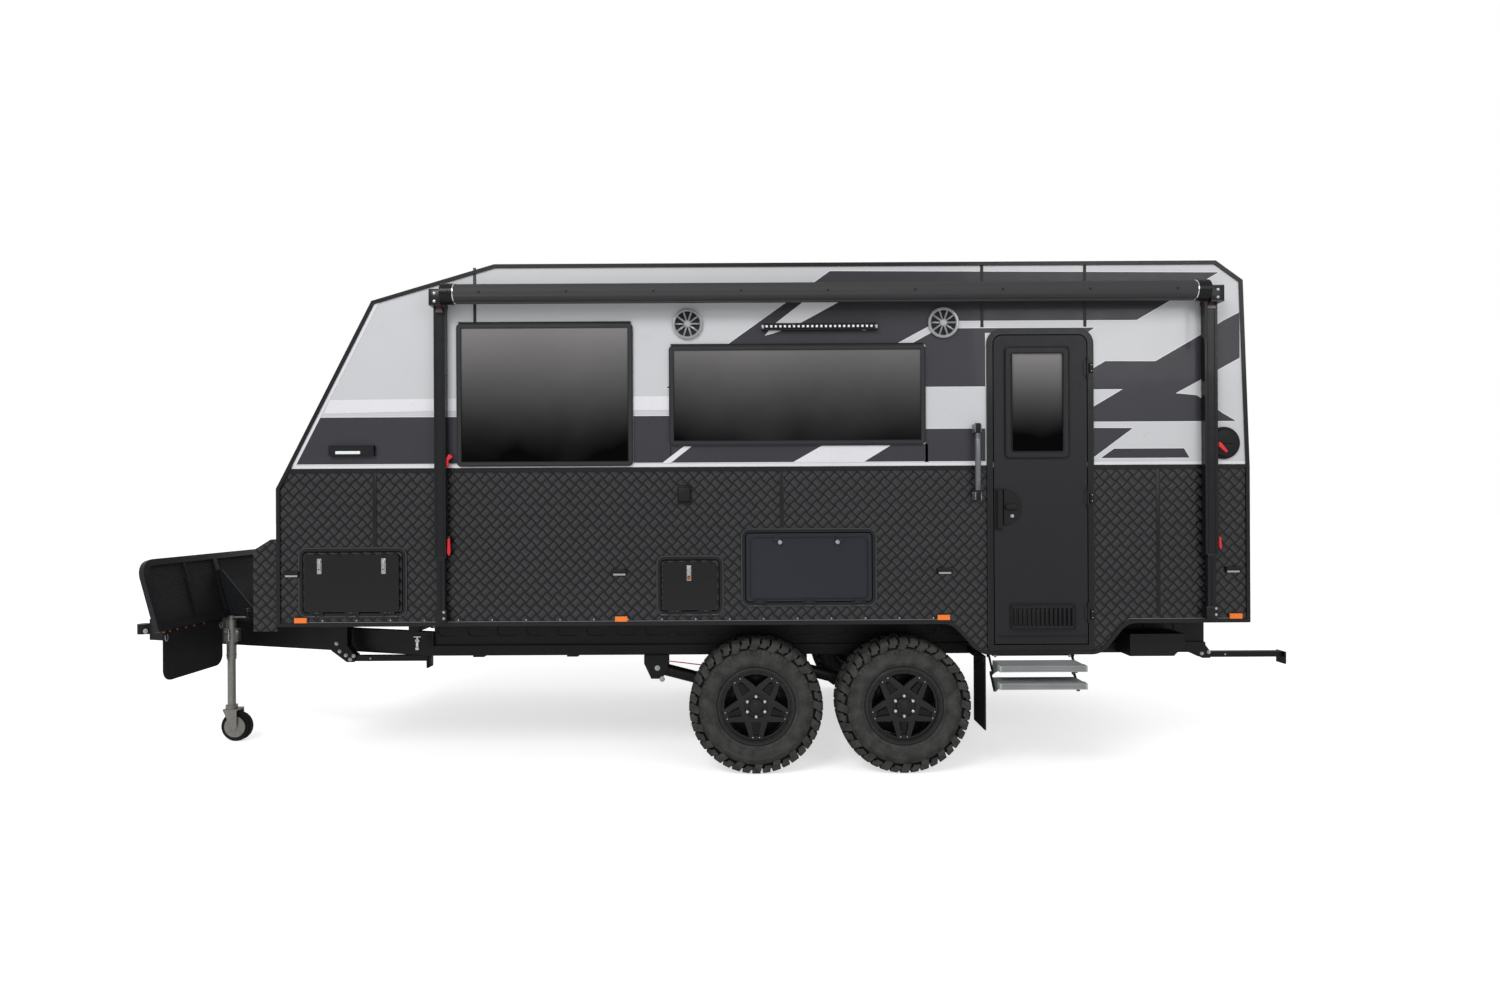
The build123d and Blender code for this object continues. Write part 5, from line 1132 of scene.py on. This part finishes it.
# Jockey wheel: clamp lever and bolts, weld rings, crank grip, wheel disc with its pressed ribs
jockey_x, jockey_y = 0.884, -0.4
grip = [(0, 0.0), (0.012, 0.0), (0.0125, 0.01), (0.011, 0.046), (0.0122, 0.06), (0, 0.062)]
weld = [(0.0302, -0.003), (0.0325, -0.002), (0.0325, 0.002), (0.0302, 0.003)]
jockey_parts = [
    rod(bolt_steel, (0.89, -0.436, 0.028), (0.89, -0.448, 0.028), 0.01, 16),
    rod(bolt_steel, (0.89, -0.444, -0.012), (0.89, -0.444, 0.07), 0.0065, 12, 0.002),
    hex_bolt((0.849, -0.4095, 0.045), (0, -1, 0), 0.0055, 0.007),
    hex_bolt((0.926, -0.4095, 0.045), (0, -1, 0), 0.008, 0.007),
    moved(turned(plastic_black, grip, 20, "Z"), (jockey_x + 0.112, jockey_y, 0.144)),
    moved(turned(steel, weld, 32, "Z", True), (jockey_x, jockey_y, -0.112)),
    moved(turned(steel, weld, 32, "Z", True), (jockey_x, jockey_y, 0.124)),
]
placed("jockey_clamp", joined(*jockey_parts))
disc_shape = [(0, -0.034), (0.018, -0.034), (0.022, -0.033), (0.03, -0.0318), (0.058, -0.0316),
              (0.064, -0.0332), (0.071, -0.0332), (0.072, -0.03), (0, -0.03)]
tread_shape = [(0.093, -0.025), (0.099, -0.02), (0.0993, -0.003), (0.097, -0.002), (0.097, 0.002),
               (0.0993, 0.003), (0.099, 0.02), (0.093, 0.025), (0.09, 0.0)]
disc = [turned(steel, disc_shape, 40), turned(rubber_black, tread_shape, 48, closed=True),
        ring(block(steel, (-0.0035, 0.0035), (-0.0332, -0.031), (0.026, 0.06), 0.001), 8)]
disc = both(joined(*disc))
placed("jockey_wheel_disc", moved(disc, (jockey_x + 0.038, jockey_y, -0.6)), "jockey_wheel")

# Chassis: bolts on the legs' and arms' brackets, brake pipe, water tap, leg feet
chassis_parts = []
for x, z in ((1.8, -0.03), (1.84, -0.055), (1.868, -0.082), (1.89, -0.06), (1.78, 0.02),
             (7.25, 0.02), (7.3, -0.02), (7.36, -0.07), (7.405, -0.062)):
    for y, out in ((-0.756, -1), (-0.694, 1)):
        chassis_parts.append(hex_bolt((x, y, z), (0, out, 0), 0.0085, 0.008))
for x in (3.86, 4.745):
    for dx, dz in ((0.0, 0.0), (0.03, -0.07)):
        chassis_parts.append(hex_bolt((x + dx, -0.844, -0.13 + dz), (0, -1, 0), 0.012, 0.011))
placed("chassis_bolts", both(joined(*chassis_parts)))
hose = tube(red_plastic, [(3.93, -0.85, -0.085), (4.02, -0.852, -0.094), (4.12, -0.852, -0.108),
                          (4.23, -0.85, -0.118)], 0.0035)
placed("brake_pipe", both(hose))
tap_x, tap_y = 2.345, -0.864
tap = [rod(chrome, (tap_x, tap_y + 0.021, 0.055), (tap_x, tap_y - 0.006, 0.055), 0.014, 20, 0.003),
       rod(chrome, (tap_x, tap_y, 0.06), (tap_x, tap_y, 0.01), 0.01, 20, 0.002),
       rod(chrome, (tap_x, tap_y, 0.016), (tap_x, tap_y, -0.004), 0.0135, 20, 0.003),
       rod(chrome, (tap_x - 0.023, tap_y, 0.08), (tap_x + 0.023, tap_y, 0.08), 0.006, 12, 0.002),
       rod(chrome, (tap_x, tap_y, 0.06), (tap_x, tap_y, 0.082), 0.006, 12, 0.002)]
placed("water_tap", joined(*tap))

for place, x0 in (("front", 1.875), ("rear", 7.395)):
    for side, y in (("near", -0.725), ("far", 0.725)):
        foot = [block(chassis_black, (x0 + 0.5, x0 + 0.5045), about(y, 0.04), (-0.134, -0.064), 0.002),
                rod(bolt_steel, (x0 + 0.12, y - 0.0205, -0.078), (x0 + 0.12, y - 0.0245, -0.078), 0.006,
                    12)]
        foot += [hex_bolt((x0, y + out * 0.02, -0.078), (0, out, 0), 0.0095, 0.004) for out in (-1, 1)]
        placed("leg_dress_%s_%s" % (place, side), joined(*foot), "leg_%s_%s" % (place, side))

# Mudflap screws
flap_parts = [hex_bolt((5.848, y, -0.022), (1, 0, 0), 0.006, 0.006) for y in (-0.97, -1.06, -1.15)]
placed("mudflap_screws", both(joined(*flap_parts)))

# Underbody tanks: straps
tank_parts = []
for x0, x1, y in ((2.72, 3.59, (-0.762, 0.742)), (6.0, 6.5, (-0.742, 0.742))):
    for x in (x0 + 0.1, x1 - 0.14):
        strap_y = (y[0] + 0.02, y[1] - 0.02)
        tank_parts.append(block(bolt_steel, (x, x + 0.03), strap_y, (0.0165, 0.0195), 0.001))
placed("tank_straps", joined(*tank_parts))


# Folding step: ribs along each tread, pale end caps, a nosing line

def step_dress(top, name, body):
    """Ribs, nosing lines and end caps of a tread, from the height of its top."""
    rib = block(step_alloy, (5.884, 6.356), (-1.395, -1.3905), (top - 0.0005, top + 0.0014), 0.0006, 1)
    parts = [row(rib, 20, (0, 0.0086, 0))]
    for z in (top - 0.0085, top - 0.0165, top - 0.0245):
        parts.append(block(alloy_light, (5.886, 6.354), (-1.4008, -1.3985), about(z, 0.0012), 0.0005, 1))
    for x in ((5.8695, 5.879), (6.361, 6.3705)):
        parts.append(block(step_end, x, (-1.401, -1.345), (top - 0.036, top + 0.001), 0.003))
    return placed(name, joined(*parts), body)


step_dress(-0.02, "step_dress_upper", "step_tread_upper")
step_dress(-0.12, "step_dress_lower", "step_tread_lower")
rail_bolts = [hex_bolt((x, -1.202, 0.002), (0, -1, 0), 0.006, 0.005) for x in (5.9, 6.34)]
placed("step_rail_bolts", joined(*rail_bolts))


# Rear wall: tread sheet below the waist, white line, lamp bezels with their amber and clear parts
behind_face, lamp_x = 7.389, 7.41
rear_parts = [block(plate_front, (behind_face, 7.3912), (-1.176, 1.176), (0.26, 1.108), 0.0006, 1),
              block(white_line, (behind_face, 7.3918), (-1.178, 1.178), (1.12, 1.148), 0.0006, 1),
              block(trim_black, (behind_face, 7.3945), (-1.18, 1.18), (1.105, 1.119), 0.002)]
for y in (-1.0, 1.0):
    rear_parts.append(block(plastic_black, (7.39, 7.405), about(y, 0.07), (0.29, 0.71), 0.006))
    for mat, z in ((amber, (0.43, 0.52)), (white_lens, (0.53, 0.58))):
        rear_parts.append(block(mat, (lamp_x, 7.4212), about(y, 0.052), z, 0.003))
    for z in (0.425, 0.525, 0.585):
        rear_parts.append(block(plastic_black, (lamp_x, 7.4216), about(y, 0.054), about(z, 0.002), 0.0008, 1))
for y in (-0.6, 0.6):
    rear_parts.append(block(frame_grey, (7.39, 7.3935), about(y, 0.009), (1.15, 2.19), 0.0012))
placed("rear_wall_dress", joined(*rear_parts))

# Front: joint strips on the wall and slope, bead and latches on the boot lid
front_parts = [block(frame_grey, (1.661, 1.666), about(y, 0.01), (0.73, 1.0), 0.0015) for y in (-0.6, 0.6)]
slope = [(1.7185, 1.15), (1.7215, 1.1485), (2.22, 2.108), (2.216, 2.111)]
for y in (-0.42, 0.42):
    front_parts.append(extruded(frame_grey, slope, "Y", about(y, 0.01)))
placed("front_wall_strips", joined(*front_parts))
lid_parts = []
bead_x = (1.4995, 1.5045)
for y in (-0.85, 0.85):
    lid_parts.append(block(plastic_black, (1.496, 1.506), about(y, 0.045), (0.245, 0.305), 0.006))
    lid_parts.append(rod(bolt_steel, (1.495, y, 0.275), (1.499, y, 0.275), 0.012, 20))
for z in ((0.63, 0.64), (0.202, 0.212)):
    lid_parts.append(block(trim_black, bead_x, (-1.188, 1.188), z, 0.002))
lid_parts.append(both(block(trim_black, bead_x, (-1.188, -1.178), (0.212, 0.63), 0.002)))
placed("boot_lid_dress", joined(*lid_parts), "boot_lid")

# Roof: sheet joints with their sealant, the air unit's grilles and lid line, the vent lid's ribs
roof_parts = []
for x in (3.02, 4.4, 5.9, 7.1):
    roof_parts.append(block(frame_grey, about(x, 0.018), (-1.165, 1.165), (2.322, 2.325), 0.0012))
    rivet = rod(bolt_steel, (x, -1.12, 2.3245), (x, -1.12, 2.3262), 0.005, 8, 0.0008)
    roof_parts.append(row(rivet, 15, (0, 0.16, 0)))
placed("roof_joints", joined(*roof_parts))
blade = block(unit_white, (5.6485, 5.653), (-0.195, 0.195), (2.367, 2.371), 0.001, 1)
rib = block(frame_grey, (4.86, 5.46), (-0.2015, -0.1985), (2.5265, 2.5295), 0.001, 1)
unit_parts = [block(plastic_black, (5.647, 5.6515), (-0.2, 0.2), (2.36, 2.44), 0.003),
              row(blade, 6, (0, 0, 0.013)), row(rib, 2, (0, 0.4, 0))]
for side in (-1, 1):
    bar = block(plastic_black, (4.95, 4.975), (side * 0.3385, side * 0.3425), (2.35, 2.43), 0.002, 1)
    unit_parts.append(row(bar, 12, (0.04, 0, 0)))
placed("air_unit_dress", joined(*unit_parts))
rib = block(plastic_black, (3.36, 3.83), (-0.162, -0.148), (2.3965, 2.401), 0.0018)
placed("vent_lid_ribs", row(rib, 4, (0, 0.104, 0)), "vent_lid")


# Floor and light

def floor_finish():
    """White studio floor. The camera sees it a little brighter than it is, and it keeps the shadow."""
    f = Finish("studio_floor", 0.9)
    f.shader.inputs["Specular IOR Level"].default_value = 0.0
    f.colour(f.mix(f.spread(f.noise(0.5), 0.3, 0.7), (0.86, 0.86, 0.86, 1), (0.88, 0.88, 0.88, 1)))
    sight = f.add("ShaderNodeLightPath").outputs["Is Camera Ray"]
    glow = f.add("ShaderNodeEmission")
    f.join(f.sum("MULTIPLY", sight, 0.62), glow, "Strength")
    both_shaders = f.add("ShaderNodeAddShader")
    f.tree.links.new(f.shader.outputs[0], both_shaders.inputs[0])
    f.tree.links.new(glow.outputs[0], both_shaders.inputs[1])
    f.tree.links.new(both_shaders.outputs[0], f.tree.nodes["Material Output"].inputs["Surface"])
    return f.mat


start()
bpy.ops.mesh.primitive_plane_add(size=120, location=(4, 0, -0.7005))
studio_floor = dressed(floor_finish())
studio_floor.name = "studio_floor"

world = bpy.data.worlds.new("world")
scene.world = world
world.use_nodes = True
tree = world.node_tree
background = tree.nodes["Background"]
background.inputs["Color"].default_value = (1, 1, 1, 1)
sight = tree.nodes.new("ShaderNodeLightPath")
level = tree.nodes.new("ShaderNodeMapRange")
tree.links.new(sight.outputs["Is Camera Ray"], level.inputs[0])
level.inputs[3].default_value = 0.56
level.inputs[4].default_value = 1.0
tree.links.new(level.outputs[0], background.inputs["Strength"])


def lamp(name, place, aim, size, power):
    light = bpy.data.lights.new(name, "AREA")
    light.shape = "RECTANGLE"
    light.size, light.size_y = size
    light.energy = power
    thing = bpy.data.objects.new(name, light)
    scene.collection.objects.link(thing)
    thing.location = place
    thing.rotation_euler = (Vector(aim) - Vector(place)).to_track_quat("-Z", "Y").to_euler()


lamp("key_lamp", (0.5, -9.0, 7.5), (4.0, 0, 0.9), (5.0, 3.0), 430)
lamp("fill_lamp", (9.5, -8.0, 4.0), (4.8, 0, 0.6), (4.0, 3.0), 90)
